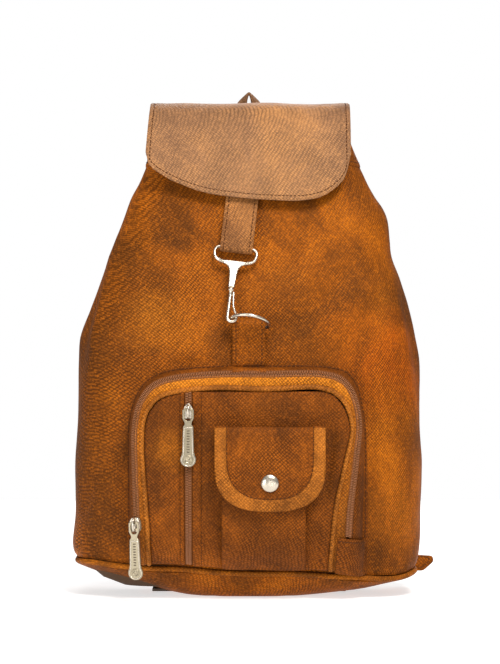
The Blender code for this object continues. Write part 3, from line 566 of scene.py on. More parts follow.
class Nodes:
    """A material's node tree, with short ways of adding to it."""

    def __init__(self, name, metallic=0.0):
        self.material = bpy.data.materials.new(name)
        self.material.use_nodes = True
        self.tree = self.material.node_tree
        self.shader = self.tree.nodes["Principled BSDF"]
        self.shader.inputs["Metallic"].default_value = metallic
        self.place = self.add("ShaderNodeTexCoord").outputs["Object"]

    def add(self, kind, inputs=None, **settings):
        node = self.tree.nodes.new(kind)
        for key, value in settings.items():
            setattr(node, key, value)
        for key, value in (inputs or {}).items():
            if isinstance(value, bpy.types.NodeSocket):
                self.tree.links.new(value, node.inputs[key])
            else:
                node.inputs[key].default_value = value
        return node

    def link(self, output, socket):
        self.tree.links.new(output, self.shader.inputs[socket])

    def maths(self, kind, a, b=0.0):
        return self.add("ShaderNodeMath", {0: a, 1: b}, operation=kind).outputs[0]

    def noise(self, scale, detail=4.0, roughness=0.55, distortion=0.0, place=None):
        return self.add("ShaderNodeTexNoise",
                        {"Vector": place or self.place, "Scale": scale, "Detail": detail,
                         "Roughness": roughness, "Distortion": distortion}).outputs["Fac"]

    def stretched(self, scale, turn=(0.0, 0.0, 0.0)):
        return self.add("ShaderNodeMapping", {"Vector": self.place, "Scale": scale,
                                              "Rotation": turn}).outputs["Vector"]

    def ramp(self, value, stops):
        node = self.add("ShaderNodeValToRGB", {"Fac": value})
        steps = node.color_ramp.elements
        while len(steps) < len(stops):
            steps.new(0.5)
        for step, (at, colour) in zip(steps, stops):
            step.position = at
            step.color = (*colour, 1.0)
        return node.outputs["Color"]

    def span(self, value, low, high, out_low, out_high):
        return self.add("ShaderNodeMapRange",
                        {"Value": value, "From Min": low, "From Max": high,
                         "To Min": out_low, "To Max": out_high}).outputs["Result"]

    def mix(self, share, a, b):
        node = self.add("ShaderNodeMix", {"Factor": share}, data_type="RGBA")
        for socket, value in ((node.inputs[6], a), (node.inputs[7], b)):
            if isinstance(value, bpy.types.NodeSocket):
                self.tree.links.new(value, socket)
            else:
                socket.default_value = (*value, 1.0)
        return node.outputs[2]

    def wave(self, axis, period, place=None):
        """Ridges across an axis, from 0 to 1."""
        along_axis = self.add("ShaderNodeVectorMath", {0: place or self.place, 1: axis},
                              operation="DOT_PRODUCT").outputs["Value"]
        turned_by = self.maths("MULTIPLY", along_axis, 2 * math.pi / period)
        half = self.maths("MULTIPLY", self.maths("SINE", turned_by), 0.5)
        return self.maths("ADD", half, 0.5)

    def bump(self, height, distance, strength=1.0, under=None):
        inputs = {"Height": height, "Distance": distance, "Strength": strength}
        if under is not None:
            inputs["Normal"] = under
        return self.add("ShaderNodeBump", inputs).outputs["Normal"]


WEAVE = ((0.577, 0.577, 0.577), (-0.577, -0.577, 0.577))
WEAVE_PERIOD = 1.5 * MM


def leather(name, dark, middle, bright, patches=13.0, cover=(0.36, 0.52, 0.66), shine=0.50,
            shift=0.0, shade_and_tone_spots=()):
    """Printed leatherette: cloudy patches of colour under a fine diagonal canvas grain.
    The spots are darker or brighter places, mostly painted shade and painted light, partly the
    leather's own patchy tone: the middle, the reach, the colour and how strong it is."""
    n = Nodes(name)
    moved = n.add("ShaderNodeMapping", {"Vector": n.place, "Scale": (1.0, 1.0, 0.72),
                                        "Location": (shift, shift * 0.6, -shift),
                                        "Rotation": (0.0, 0.35, 0.0)}).outputs["Vector"]
    clouds = n.noise(patches, 5.0, 0.62, 1.1, moved)
    colour = n.ramp(clouds, ((cover[0], dark), (cover[1], middle), (cover[2], bright)))
    torn = n.noise(16.0, 5.0, 0.62, 1.2)
    # the spots paint shade and light into the colour, with torn edges
    for place, reach, tint, strength in shade_and_tone_spots:
        gap = n.add("ShaderNodeVectorMath", {0: n.place, 1: place}, operation="DISTANCE")
        gap = n.maths("ADD", gap.outputs["Value"], n.maths("MULTIPLY", torn, 1.4 * reach))
        share = n.span(gap, reach * 0.9, reach * 2.0, strength, 0.0)
        colour = n.mix(share, colour, tint)
    streaks = n.noise(1.0, 4.0, 0.6, 0.6, n.stretched((60.0, 60.0, 22.0), (0.0, 0.5, 0.0)))
    colour = n.mix(n.span(streaks, 0.38, 0.72, 0.0, 0.42), colour, tuple(c * 0.55 for c in middle))
    wander = n.add("ShaderNodeTexNoise", {"Vector": n.place, "Scale": 150.0, "Detail": 2.0})
    tiny = n.add("ShaderNodeVectorMath", {0: wander.outputs["Color"], "Scale": 2.2 * MM},
                 operation="SCALE").outputs[0]
    bent = n.add("ShaderNodeVectorMath", {0: n.place, 1: tiny}, operation="ADD").outputs[0]
    weave = n.maths("MULTIPLY", n.wave(WEAVE[0], WEAVE_PERIOD, bent),
                    n.wave(WEAVE[1], WEAVE_PERIOD * 1.15, bent))
    fine = n.noise(520.0, 3.0, 0.7)
    inked = n.maths("MULTIPLY", n.span(weave, 0.0, 0.40, 1.0, 0.0),
                    n.span(torn, 0.35, 0.65, 0.42, 0.85))
    colour = n.mix(inked, colour, tuple(c * 0.45 for c in dark))
    colour = n.mix(n.span(fine, 0.36, 0.56, 0.45, 0.0), colour, tuple(c * 0.5 for c in dark))
    colour = n.mix(n.span(fine, 0.54, 0.72, 0.0, 0.30), colour, tuple(c * 1.2 for c in bright))
    n.link(colour, "Base Color")
    n.link(n.span(clouds, 0.3, 0.7, shine + 0.12, shine - 0.04), "Roughness")
    creases = n.noise(1.0, 5.0, 0.55, 0.4, n.stretched((75.0, 75.0, 55.0)))
    under = n.bump(creases, 1.6 * MM, 0.45)
    grain = n.maths("ADD", weave, n.maths("MULTIPLY", fine, 0.7))
    n.link(n.bump(grain, 0.40 * MM, 0.8, under), "Normal")
    n.shader.inputs["Specular IOR Level"].default_value = 0.06
    return n.material


def woven(name, colour, period, shine=0.8, axes=((1, 0, 0), (0, 0, 1))):
    """Cloth or tape: threads over and under each other."""
    n = Nodes(name)
    over, under = n.wave(axes[0], period), n.wave(axes[1], period * 1.1)
    threads = n.maths("MULTIPLY", over, under)
    tone = n.mix(n.span(threads, 0.0, 0.5, 0.55, 0.0), colour, tuple(c * 0.35 for c in colour))
    patch = n.span(n.noise(60.0, 3.0), 0.3, 0.7, 0.0, 0.35)
    n.link(n.mix(patch, tone, tuple(c * 0.6 for c in colour)), "Base Color")
    fuzz = n.maths("ADD", threads, n.maths("MULTIPLY", n.noise(1500.0, 2.0), 0.3))
    n.link(n.bump(fuzz, 0.3 * MM, 0.7), "Normal")
    n.link(n.span(threads, 0.0, 0.5, shine + 0.1, shine - 0.05), "Roughness")
    n.shader.inputs["Specular IOR Level"].default_value = 0.15
    return n.material


def metal(name, colour, shine, scratches=0.12):
    """Plated metal with faint scratches and a little tarnish."""
    n = Nodes(name, 1.0)
    haze = n.noise(160.0, 4.0, 0.6)
    n.link(n.mix(n.span(haze, 0.35, 0.75, 0.0, 0.30), colour, tuple(c * 0.72 for c in colour)),
           "Base Color")
    lines = n.noise(1.0, 3.0, 0.6, 0.2, n.stretched((1800.0, 1800.0, 160.0), (0.2, 0.5, 0.1)))
    n.link(n.span(lines, 0.3, 0.7, shine, shine + scratches), "Roughness")
    n.link(n.bump(haze, 0.02 * MM, 0.2), "Normal")
    return n.material


def thread(name, colour):
    """Twisted sewing thread."""
    n = Nodes(name)
    strands = n.wave((0.6, 0.4, 0.69), 0.32 * MM)
    n.link(n.mix(n.span(strands, 0.0, 1.0, 0.5, 0.0), colour, tuple(c * 0.5 for c in colour)),
           "Base Color")
    n.link(n.span(strands, 0.0, 1.0, 0.75, 0.6), "Roughness")
    n.link(n.bump(strands, 0.08 * MM, 0.6), "Normal")
    n.shader.inputs["Specular IOR Level"].default_value = 0.12
    return n.material


def moulded(name, colour, shine):
    """Moulded plastic or board with a fine texture."""
    n = Nodes(name)
    fine = n.noise(900.0, 3.0, 0.6)
    n.link(n.mix(n.span(fine, 0.3, 0.7, 0.0, 0.3), colour, tuple(c * 1.5 for c in colour)),
           "Base Color")
    n.link(n.span(fine, 0.3, 0.7, shine, shine + 0.15), "Roughness")
    n.link(n.bump(fine, 0.08 * MM, 0.5), "Normal")
    return n.material


DARK, MIDDLE, BRIGHT = (0.115, 0.034, 0.0045), (0.390, 0.098, 0.0045), (0.600, 0.160, 0.0060)
# Painted shade and painted light on the body, partly the leather's own patchy tone: the middle, the
# reach, the colour and its share
BODY_SHADE_AND_TONE = (
    # painted shade down the left side, under the flap's edge and in the body's creases, partly
    # patchy leather tone
    ((-0.120, -0.030, 0.185), 0.052, DARK, 0.95),
    ((-0.124, -0.020, 0.115), 0.048, DARK, 0.95),
    ((-0.112, -0.040, 0.060), 0.034, DARK, 0.70),
    ((-0.055, -0.048, 0.300), 0.018, DARK, 0.65),
    ((-0.095, -0.030, 0.262), 0.020, DARK, 0.60),
    ((0.108, -0.030, 0.232), 0.026, DARK, 0.62),
    ((0.128, -0.030, 0.120), 0.018, DARK, 0.70),
    ((0.030, -0.055, 0.238), 0.018, DARK, 0.40),
    # painted shadows on each side of the ring strap
    ((-0.021, -0.060, 0.200), 0.012, DARK, 0.65),
    ((-0.020, -0.060, 0.186), 0.009, DARK, 0.55),
    ((0.019, -0.060, 0.198), 0.009, DARK, 0.55),
    # brighter places: painted light on the right side and on a fold ridge at the left, partly
    # leather tone
    ((0.108, -0.045, 0.178), 0.036, (0.520, 0.095, 0.0025), 0.90),
    ((0.074, -0.055, 0.205), 0.024, (0.540, 0.125, 0.0040), 0.70),
    ((-0.070, -0.055, 0.215), 0.026, (0.600, 0.185, 0.0120), 0.60),
    ((0.110, -0.045, 0.060), 0.028, (0.480, 0.135, 0.0080), 0.50),
)
# Painted shade beside and above the phone pocket's flap on the pocket's front, and one brighter
# patch to its left
POCKET_SHADE_AND_TONE = (
    ((-0.032, -0.083, 0.120), 0.012, DARK, 0.75),
    ((-0.032, -0.083, 0.085), 0.012, DARK, 0.70),
    ((0.064, -0.083, 0.120), 0.011, DARK, 0.75),
    ((0.060, -0.083, 0.085), 0.012, DARK, 0.80),
    ((0.050, -0.083, 0.050), 0.012, DARK, 0.60),
    ((0.010, -0.083, 0.145), 0.022, DARK, 0.45),
    ((-0.060, -0.083, 0.115), 0.016, (0.500, 0.150, 0.0080), 0.55),
)
# Painted highlight along the pocket's upward-facing top band, lit by the lamps above
BAND_PAINTED_HIGHLIGHT = tuple(((x, -0.080, 0.172), 0.030, (0.850, 0.270, 0.0160), 0.85)
                  for x in (-0.060, -0.020, 0.020, 0.055))
TAN = leather("leather_tan", DARK, MIDDLE, BRIGHT, shade_and_tone_spots=BODY_SHADE_AND_TONE)
POCKET_TAN = leather("leather_pocket", (0.110, 0.031, 0.0045), (0.260, 0.066, 0.0052),
                     (0.410, 0.105, 0.0065), 17.0, shift=0.31, shade_and_tone_spots=POCKET_SHADE_AND_TONE)
# A lighter, paler copy of the tan leather for the flap and the haul loop: painted light from the
# lamps above and the leather's sheen
LIT_TAN = leather("leather_light", (0.240, 0.118, 0.060), (0.420, 0.200, 0.085),
                (0.540, 0.245, 0.085), 12.0, (0.32, 0.48, 0.66), 0.44, shift=0.17)
CLOSURE = leather("leather_closure", (0.200, 0.080, 0.028), (0.380, 0.150, 0.045),
                  (0.500, 0.200, 0.055), 12.0, (0.32, 0.48, 0.66), 0.44, shift=0.41)
BAND = leather("leather_band", (0.200, 0.060, 0.0070), (0.400, 0.112, 0.0080),
               (0.600, 0.180, 0.0110), 22.0, shift=0.53, shade_and_tone_spots=BAND_PAINTED_HIGHLIGHT)
STRIP = leather("leather_strip", (0.220, 0.068, 0.0100), (0.450, 0.140, 0.0160),
                (0.600, 0.190, 0.0220), 22.0, shift=0.83)
THREAD = thread("thread_brown", (0.085, 0.026, 0.006))
TAPE = woven("tape_brown", (0.210, 0.070, 0.020), 0.7 * MM)
LINING = woven("lining_cloth", (0.110, 0.060, 0.032), 0.9 * MM)
WEBBING = woven("webbing_brown", (0.085, 0.036, 0.016), 1.6 * MM, 0.75, ((1, 0.4, 0), (0, 0.2, 1)))
TEETH = moulded("zip_teeth", (0.290, 0.105, 0.032), 0.38)
STEEL = metal("nickel_warm", (0.60, 0.53, 0.43), 0.22)
AGED = metal("nickel_aged", (0.36, 0.305, 0.21), 0.26, 0.18)
ENGRAVED = metal("nickel_engraved", (0.150, 0.120, 0.080), 0.40)
BRASS = metal("eyelet_brass", (0.70, 0.52, 0.28), 0.25)
PLASTIC = moulded("buckle_plastic", (0.028, 0.020, 0.015), 0.38)
BOARD = moulded("board_brown", (0.055, 0.035, 0.022), 0.8)


# ---- Body of the bag ----

def half_width(z):
    return smooth(HALF_WIDTH, z)


def front_y(x, z):
    """The front of the bag: a superellipse that blends into flat sides."""
    across = min(abs(x) / half_width(z), 1.0)
    return -smooth(FRONT_DEPTH, z) * (1.0 - across**3) ** (1 / 3)


def on_front(x, z, stand=0.0):
    """A point at a distance in front of the bag's front surface."""
    step = 0.5 * MM
    right = Vector((2 * step, front_y(x + step, z) - front_y(x - step, z), 0.0))
    up = Vector((0.0, front_y(x, z + step) - front_y(x, z - step), 2 * step))
    return Vector((x, front_y(x, z), z)) + right.cross(up).normalized() * stand


def seam_z(x):
    return smooth(SEAM_LINE, x)


def wrap_row(z, count, stand):
    """The bag's outline at a height, evenly spaced from its left side round to its right."""
    angles = np.linspace(math.pi, 0, 721)
    c, s = np.cos(angles), np.clip(np.sin(angles), 0, 1)
    x = np.sign(c) * np.abs(c) ** (2 / 3)
    left, right = smooth(LEFT_WIDTH, z) + stand, smooth(RIGHT_WIDTH, z) + stand
    x = np.where(x < 0, x * left, x * right)
    y = -(s ** (2 / 3)) * (smooth(FRONT_DEPTH, z) + stand)
    x = np.concatenate([[-left], x, [right]])
    y = np.concatenate([[BACK_Y], y, [BACK_Y]])
    reach = np.concatenate([[0], np.cumsum(np.hypot(np.diff(x), np.diff(y)))])
    middle = np.interp(0.0, x[1:-1], reach[1:-1])
    at = np.linspace(0, reach[-1], count)
    return np.interp(at, reach, x), np.interp(at, reach, y), at - middle


def wrap_grid(heights, count, stand, foot=False):
    """Rows round the bag, and each point's distance round it from the middle of its front."""
    rows, around = [], []
    for z0 in heights:
        fade = (1 - (z0 - heights[0]) / (heights[-1] - heights[0])) ** 4 if foot else 0.0
        x, y, reach = wrap_row(z0, count, stand)
        lift = np.array([seam_z(a) - SEAM_Z for a in x]) * fade
        rows.append(np.stack([x, y, z0 + lift], axis=1))
        around.append(reach)
    return np.array(rows), np.array(around)


def fold_height(grid, around):
    """How far the soft folds move each point of the body outwards."""
    flat = np.stack([around, grid[..., 2], np.zeros(around.shape)], axis=2)
    height = np.zeros(around.shape)
    for points, width, stands in FOLDS:
        line = resampled(sampled([(*p, 0.0) for p in points], 30), 2 * MM)
        taper = np.sin(np.linspace(0.12, math.pi - 0.12, len(line)))
        gaps = np.linalg.norm(flat[:, :, None, :] - line[None, None], axis=3)
        near = gaps.argmin(axis=2)
        height += stands * bell(gaps.min(axis=2), width) * taper[near]
    height += rough(grid, 48 * MM, 1.5 * MM, 3.1) + rough(grid, 17 * MM, 0.35 * MM, 8.2)
    away = np.clip((np.abs(around) - 15 * MM) / (16 * MM), 0, 1)
    on_pocket = (grid[..., 2] < POCKET_TOP_Z) & (np.abs(around) < POCKET_SIDE)
    height = np.where(on_pocket, -0.4 * np.abs(height), height * away)
    foot = np.clip((grid[..., 2] - grid[:1, :, 2]) / (12 * MM), 0, 1)
    return height * (0.15 + 0.85 * foot)


def make_body():
    low = SEAM_Z + PIPING_R + 0.2 * MM
    heights = eased(low, 0.060, 24, end=False) + spread(0.0625, MOUTH_Z, 112)
    grid, around = wrap_grid(heights, 210, 0.0, foot=True)
    height = fold_height(grid, around)
    pleats = np.clip((grid[..., 2] - 0.305) / 0.05, 0, 1) ** 1.5
    height -= pleats * (1 + np.sin(around * 2 * math.pi / PLEAT)) * 0.8 * MM
    above = grid[..., 2] - grid[:1, :, 2]
    waves = np.sin(around * 2 * math.pi / PUCKER + 2 * np.sin(around * 70))
    height -= bell(above, 9 * MM) * (1 + waves) * 0.22 * MM
    height -= bell(above, 2.0 * MM) * 0.9 * MM
    grid = raised(grid, height)
    lay("body_leather", grid, 1.6 * MM, TAN, "body_panel")

    inner, _ = wrap_grid(spread(0.0330, 0.330, 34), 120, -3.2 * MM)
    inner[..., 1] = np.minimum(inner[..., 1], BACK_Y - 1.5 * MM)
    inner = raised(inner, rough(inner, 30 * MM, 1.6 * MM, 5.5) - 0.8 * MM)
    bottom = []
    for scale, height in ((0.60, 0.0066), (0.74, 0.0072), (0.86, 0.0135), (0.95, 0.0235)):
        rows = inner[0] * (scale, scale, 0) + (0, 0.004 * (1 - scale), height)
        bottom.append(rows)
    inner = np.concatenate([np.array(bottom), inner])
    lay("lining_cloth", inner, 0.5 * MM, LINING, "main_lining", slot="lining", ring=True,
        floor=True)

    hem, around = wrap_grid(spread(*HEM_Z, 12), 220, 0.9 * MM)
    eyelets = bell(np.abs(around) - 26 * MM, 11 * MM)
    folds = (1 + np.sin(around * 2 * math.pi / PLEAT)) * 0.4 * MM
    hem = raised(hem, eyelets * 1.6 * MM - folds * (1 - eyelets))
    edges = [hem[0], hem[-1]]
    seam = hem[2] * 0.7 + hem[1] * 0.3
    hem = sewn(hem, edges, [seam])
    lay("mouth_hem_leather", hem, 1.3 * MM, TAN, "mouth_hem")
    stitch("mouth_hem_stitches", seam, hem)


def base_ring():
    """The closed outline of the bottom seam."""
    x, y, _ = wrap_row(SEAM_Z, 260, 0.0)
    front = np.stack([x, y, np.zeros(len(x))], axis=1)
    back_y = BACK_Y + 2.5 * MM
    end = front[-1, 0] - 3 * MM
    back = np.array([(a, back_y, 0.0) for a in spread(end, -end, 60)])
    ring = resampled(np.vstack([front, back]), 1.0 * MM, closed=True)
    at = np.linspace(0, len(ring), 240, endpoint=False)
    return np.stack([np.interp(at, np.arange(len(ring) + 1), np.append(ring[:, k], ring[0, k]))
                     for k in range(3)], axis=1)


def make_base():
    ring = base_ring()
    rise = np.array([seam_z(x) for x in ring[:, 0]])
    back = np.clip((ring[:, 1] - 0.030) / 0.02, 0, 1)
    rise = rise + (BACK_SEAM_Z - rise) * back
    line = np.column_stack([ring[:, 0], ring[:, 1], rise])
    line[:, 2] += rough(line[None], 22 * MM, 0.5 * MM, 1.7)[0]
    put(tube("base_piping_cord", line, PIPING_R, BAND, closed=True, sides=12), "root",
        "leather_tan", "base_piping")
    rows = []
    start = 0.70 - 0.40 * np.clip(np.abs(ring[:, 0]) / 0.13, 0, 1) ** 1.5
    for scale in (0.02, 0.2, 0.32, 0.42, 0.5, 0.58, 0.66, 0.73, 0.79, 0.84, 0.885, 0.925, 0.955,
                  0.975, 0.99, 1.0):
        curve = np.clip((scale - start) / (1 - start), 0.0, 1.0) ** 1.55
        z = curve * (rise - PIPING_R - 0.3 * MM)
        rows.append(np.column_stack([ring[:, 0] * scale, ring[:, 1] * scale, z]))
    grid = np.array(rows)
    lumps = rough(grid, 34 * MM, 1.3 * MM, 6.1) * np.clip(grid[..., 2] / (8 * MM), 0, 1)
    grid = raised(grid, np.minimum(lumps, 0.5 * MM), ring=True)
    grid[..., 2] = np.maximum(grid[..., 2], 0.0)
    lay("bottom_leather", grid, 1.8 * MM, TAN, "bottom_panel", ring=True, floor=True)


def make_back():
    low = SEAM_Z + 9.5 * MM
    columns = []
    for u in eased(-1.0, 1.0, 81):
        top = BACK_TOP_Z - 6 * MM * max((abs(u) - 0.72) / 0.28, 0.0) ** 2
        columns.append([])
        for z in eased(low, top, 90):
            side = LEFT_WIDTH if u < 0 else RIGHT_WIDTH
            width = min(smooth(side, z), half_width(z) + 1 * MM)
            columns[-1].append((u * (width + 0.3 * MM), BACK_FACE_Y, z))
    grid = np.array(columns).transpose(1, 0, 2)[:, ::-1]
    edge = outline(grid)
    inner = grid[4:-4, 5:-5]
    seams = [outline(inner)]
    crown = np.clip(distance_to(grid, resampled(edge, 2 * MM)) / (14 * MM), 0, 1)
    grid[..., 1] -= (1 - crown) ** 2 * 1.6 * MM
    grid = sewn(grid, [edge], seams, cut=1.4 * MM, sink=0.5 * MM)
    lay("back_leather", grid, 4.2 * MM, TAN, "back_panel")
    stitch("back_stitches", seams[0], grid, closed=True)


def inflated(name, grid, thickness, finish, cap):
    """A closed pad blown up as cloth: remeshed, simulated with pressure, capped and applied."""
    piece = panel(name, grid, thickness, finish)
    remesh = piece.modifiers.new("Remesh", "REMESH")
    remesh.mode = "VOXEL"
    remesh.voxel_size = 3.4 * MM
    piece = settled(piece)
    rest = np.array([v.co for v in piece.data.vertices])
    cloth = piece.modifiers.new("Cloth", "CLOTH")
    cloth.settings.use_pressure = True
    cloth.settings.uniform_pressure_force = 4.0
    cloth.settings.effector_weights.gravity = 0.0
    cloth.settings.quality = 5
    cloth.settings.tension_stiffness = 18
    cloth.settings.bending_stiffness = 2.0
    cloth.point_cache.frame_start = 1
    cloth.point_cache.frame_end = 20
    for step in range(1, 21):
        bpy.context.scene.frame_set(step)
    piece = settled(piece)
    bpy.context.scene.frame_set(1)
    now = np.array([v.co for v in piece.data.vertices])
    move = now - rest
    far = np.linalg.norm(move, axis=1, keepdims=True)
    move *= np.minimum(1.0, cap / np.maximum(far, 1e-9))
    for vertex, place in zip(piece.data.vertices, rest + move):
        vertex.co = place
    smoothing = piece.modifiers.new("Smooth", "SUBSURF")
    smoothing.levels = smoothing.render_levels = 1
    piece = settled(piece)
    piece.data.materials.clear()
    piece.data.materials.append(finish)
    piece.data.shade_smooth()
    return piece


def make_back_pads():
    """Two padded panels on the back."""
    for name, side in (("left", -1), ("right", 1)):
        rows = []
        for v in spread(-1.0, 1.0, 56):
            z = BACK_PAD_Z + v * BACK_PAD_RISE
            middle = side * (0.0475 - 0.0030 * v)
            half = 0.0370 - 0.0030 * v
            half *= (1 - abs(v) ** 6 * 0.18)
            rows.append([(middle - half * u, BACK_PAD_Y, z - 0.012 * abs(u)**5 * v**5)
                         for u in spread(-1.0, 1.0, 24)])
        grid = np.array(rows)
        pad = inflated(f"back_pad_{name}", grid, 2.6 * MM, POCKET_TAN, 3.0 * MM)
        put(pad, "root", "leather_tan")


# ---- Flap and closure ----

def flap_grid(stand, inset, steps_across=67, steps_over=46, steps_front=26):
    """The flap's outer side. Stand moves it inwards, inset draws its edges in."""
    fine = sampled([(0.0, *p) for p in FLAP_OVER], 61)
    low, high = FLAP_EDGE[0][0] + inset, FLAP_EDGE[-1][0] - inset
    middle, reach = (low + high) / 2, (high - low) / 2
    columns = []
    for i in range(steps_across):
        u = -math.cos(math.pi * i / (steps_across - 1))
        x = middle + reach * u
        end_z = smooth(FLAP_EDGE, x) + inset
        end = next(k for k in range(30, 61) if fine[k].z <= end_z)
        stop = end - (end_z - fine[end].z) / (fine[end - 1].z - fine[end].z)
        stations = spread(0, FLAP_BEND_END, steps_over)
        stations += eased(FLAP_BEND_END, stop, steps_front + 1, start=False)[1:]
        column = []
        for at in stations:
            k = min(int(at), 59)
            here, run = fine[k].lerp(fine[k + 1], at - k), fine[k + 1] - fine[k]
            inward = Vector((0, run.z, -run.y)).normalized()
            narrow = 2.6 * MM * min(max((here.z - 0.345) / 0.035, 0.0), 1.0) * max(-u, 0.0)
            column.append(Vector((x + narrow, here.y, here.z)) - inward * stand)
        columns.append(column)
    return np.array([[tuple(column[j]) for column in reversed(columns)]
                     for j in range(len(columns[0]))])


def make_flap():
    grid = flap_grid(0.0, 0.0)
    edge = outline(grid, "ltr")
    seam = outline(flap_grid(0.0, 3.3 * MM)[6:-1], "ltr")
    inside = np.clip(distance_to(grid, resampled(edge, 1.5 * MM)) / (12 * MM), 0, 1)
    height = rough(grid, 46 * MM, 1.5 * MM, 2.2) - 0.5 * MM
    height += rough(grid, 15 * MM, 0.25 * MM, 7.7)
    height = np.minimum(height, 0.4 * MM) * inside
    grid = raised(grid, height, run=LEFTWARDS)
    grid = sewn(grid, [edge], [seam], cut=0.9 * MM, sink=0.4 * MM, run=LEFTWARDS)
    # the flap's leather is the lighter copy of the tan, with painted light
    lay("flap_leather", grid, FLAP_T, LIT_TAN, "flap_panel", body="flap", slot="leather_light",
        run=LEFTWARDS)
    stitch("flap_stitches", seam, grid, body="flap", slot="leather_light", pitch=3.0 * MM,
           run=LEFTWARDS)
    under = flap_grid(FLAP_T + 0.15 * MM, 0.5 * MM, 49, 34, 18)
    edge = outline(under, "ltr")
    under = sewn(under, [edge], cut=0.3 * MM, run=LEFTWARDS)
    lay("flap_lining_cloth", under, 1.1 * MM, POCKET_TAN, "flap_lining", body="flap",
        slot="lining", run=LEFTWARDS)


def strap_grid(line, across, steps=17):
    """A strap along points: width runs along the across vector at each of them."""
    columns = eased(-1.0, 1.0, steps)
    return np.array([[tuple(p + a * u) for u in columns] for p, a in zip(line, across)])


def strap(name, grid, thickness, finish, inset=2.6 * MM, cut=0.6 * MM):
    """A strap with rounded edges and a groove for a row of stitches along each: its panel, its
    outer side and the stitch lines.
    """
    left, right = grid[:, 0], grid[:, -1]
    edges = [left, right, grid[0], grid[-1]]
    share = inset / np.linalg.norm(grid[:, 0] - grid[:, -1], axis=1)[:, None]
    seams = [left + (right - left) * share, right + (left - right) * share]
    surface = sewn(grid, edges, seams, cut=cut, sink=0.28 * MM)
    return panel(name, surface, thickness, finish), surface, seams


def closure_x(z):
    """The closure hangs a little askew: its middle line in x at a height."""
    return -6.6 * MM + (z - 0.2935) * 0.112


def make_flap_strap():
    lean = Vector((1.0, 0.0, -0.112)).normalized()
    centre = on_front(closure_x(EYE_Z), EYE_Z, EYE_STAND)
    out = (centre - on_front(closure_x(EYE_Z), EYE_Z)).normalized()
    down = lean.cross(out).normalized()
    radius = EYE_STAND - 0.9 * MM
    back = [on_front(closure_x(z), z, s * MM) for z, s in
            ((0.322, 0.9), (0.312, 0.9), (0.302, 0.9), (0.292, 0.9), (0.282, 0.9))]
    fold = [centre - out * math.cos(a) * radius + down * math.sin(a) * radius
            for a in spread(0, math.pi, 15)]
    front = [on_front(closure_x(z), z, s * MM) for z, s in
             ((0.277, 8.4), (0.284, 7.2), (0.291, 5.6), (0.298, 4.5), (0.305, 4.3),
              (0.313, 4.3), (0.320, 4.3))]
    line = [Vector(p) for p in resampled(back + fold + front, 1.3 * MM)]
    grid = strap_grid(line, [lean * STRAP_W / 2] * len(line))
    piece, surface, seams = strap("closure_strap", grid, STRAP_T, CLOSURE)
    put(piece, "flap", "leather_light", "flap_strap")
    half = [seam[len(seam) // 2 + 4:] for seam in seams]
    for side, seam in zip(("left", "right"), half):
        stitch(f"closure_strap_stitches_{side}", seam, surface, body="flap", slot="leather_light",
               pitch=3.2 * MM)


def make_haul_loop():
    half = ((9.0, 66.0, 353.0, 0), (9.3, 66.2, 360.0, 0), (9.5, 66.6, 366.0, 6),
            (9.4, 68.0, 374.0, 18), (8.6, 70.0, 382.0, 36), (6.4, 71.5, 390.5, 60),
            (3.2, 72.3, 396.0, 80), (0.0, 72.6, 398.2, 90))
    route = [(-x, y, z, turn) for x, y, z, turn in half]
    route += [(x, y, z, 180 - turn) for x, y, z, turn in reversed(half[:-1])]
    points = sampled([Vector(p[:3]) * MM for p in route], 90)
    turns = [along([(p[3], 0, 0) for p in route], (len(route) - 1) * i / 89).x for i in range(90)]
    across = [Vector((math.cos(math.radians(a)), -math.sin(math.radians(a)), 0)) * 6.5 * MM
              for a in turns]
    # the haul loop's leather is the lighter copy of the tan, with painted light
    piece, _, _ = strap("haul_loop_strap", strap_grid(points, across, 11), 1.7 * MM, LIT_TAN,
                        inset=1.8 * MM, cut=0.5 * MM)
    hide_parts("haul_loop")
    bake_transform(piece)


def ring_frame():
    middle = on_front(0.3 * MM, RING_Z, RING_STAND)
    turn = Matrix.Rotation(RING_ROLL, 4, "Y") @ Matrix.Rotation(-RING_TILT, 4, "X")
    return Matrix.Translation(middle) @ turn


def ring_arc(angle):
    """A point on the ring's round front, which runs from its right side to its left."""
    return Vector((RING_HALF * math.cos(angle), -RING_CORNER - RING_REACH * math.sin(angle), 0))


def ring_line():
    """The D ring's centre line: a straight bar at the back and a round front."""
    corner, end = RING_CORNER, RING_HALF - RING_CORNER
    turns = spread(0, math.pi / 2, 6)
    line = [(x, 0, 0) for x in spread(-0.9 * end, 0.9 * end, 9)]
    line += [(end + corner * math.sin(a), -corner * (1 - math.cos(a)), 0) for a in turns]
    line += [ring_arc(a) for a in spread(0.12, math.pi - 0.12, 40)]
    line += [(-end - corner * math.cos(a), -corner * (1 - math.sin(a)), 0) for a in turns]
    return [ring_frame() @ Vector(p) for p in line]


def hook_axes():
    """The hook's bar, its directions across and down the shank, and its mouth's centre."""
    mouth = ring_frame() @ ring_arc(RING_HELD)
    bar = on_front(closure_x(EYE_Z), EYE_Z, EYE_STAND)
    down = (mouth - bar).normalized()
    for _ in range(4):
        across = (Vector((1, 0, 0)) - down * down.x).normalized()
        down = (mouth - across * MOUTH_R - bar).normalized()
    across = (Vector((1, 0, 0)) - down * down.x).normalized()
    return bar, across, down, mouth


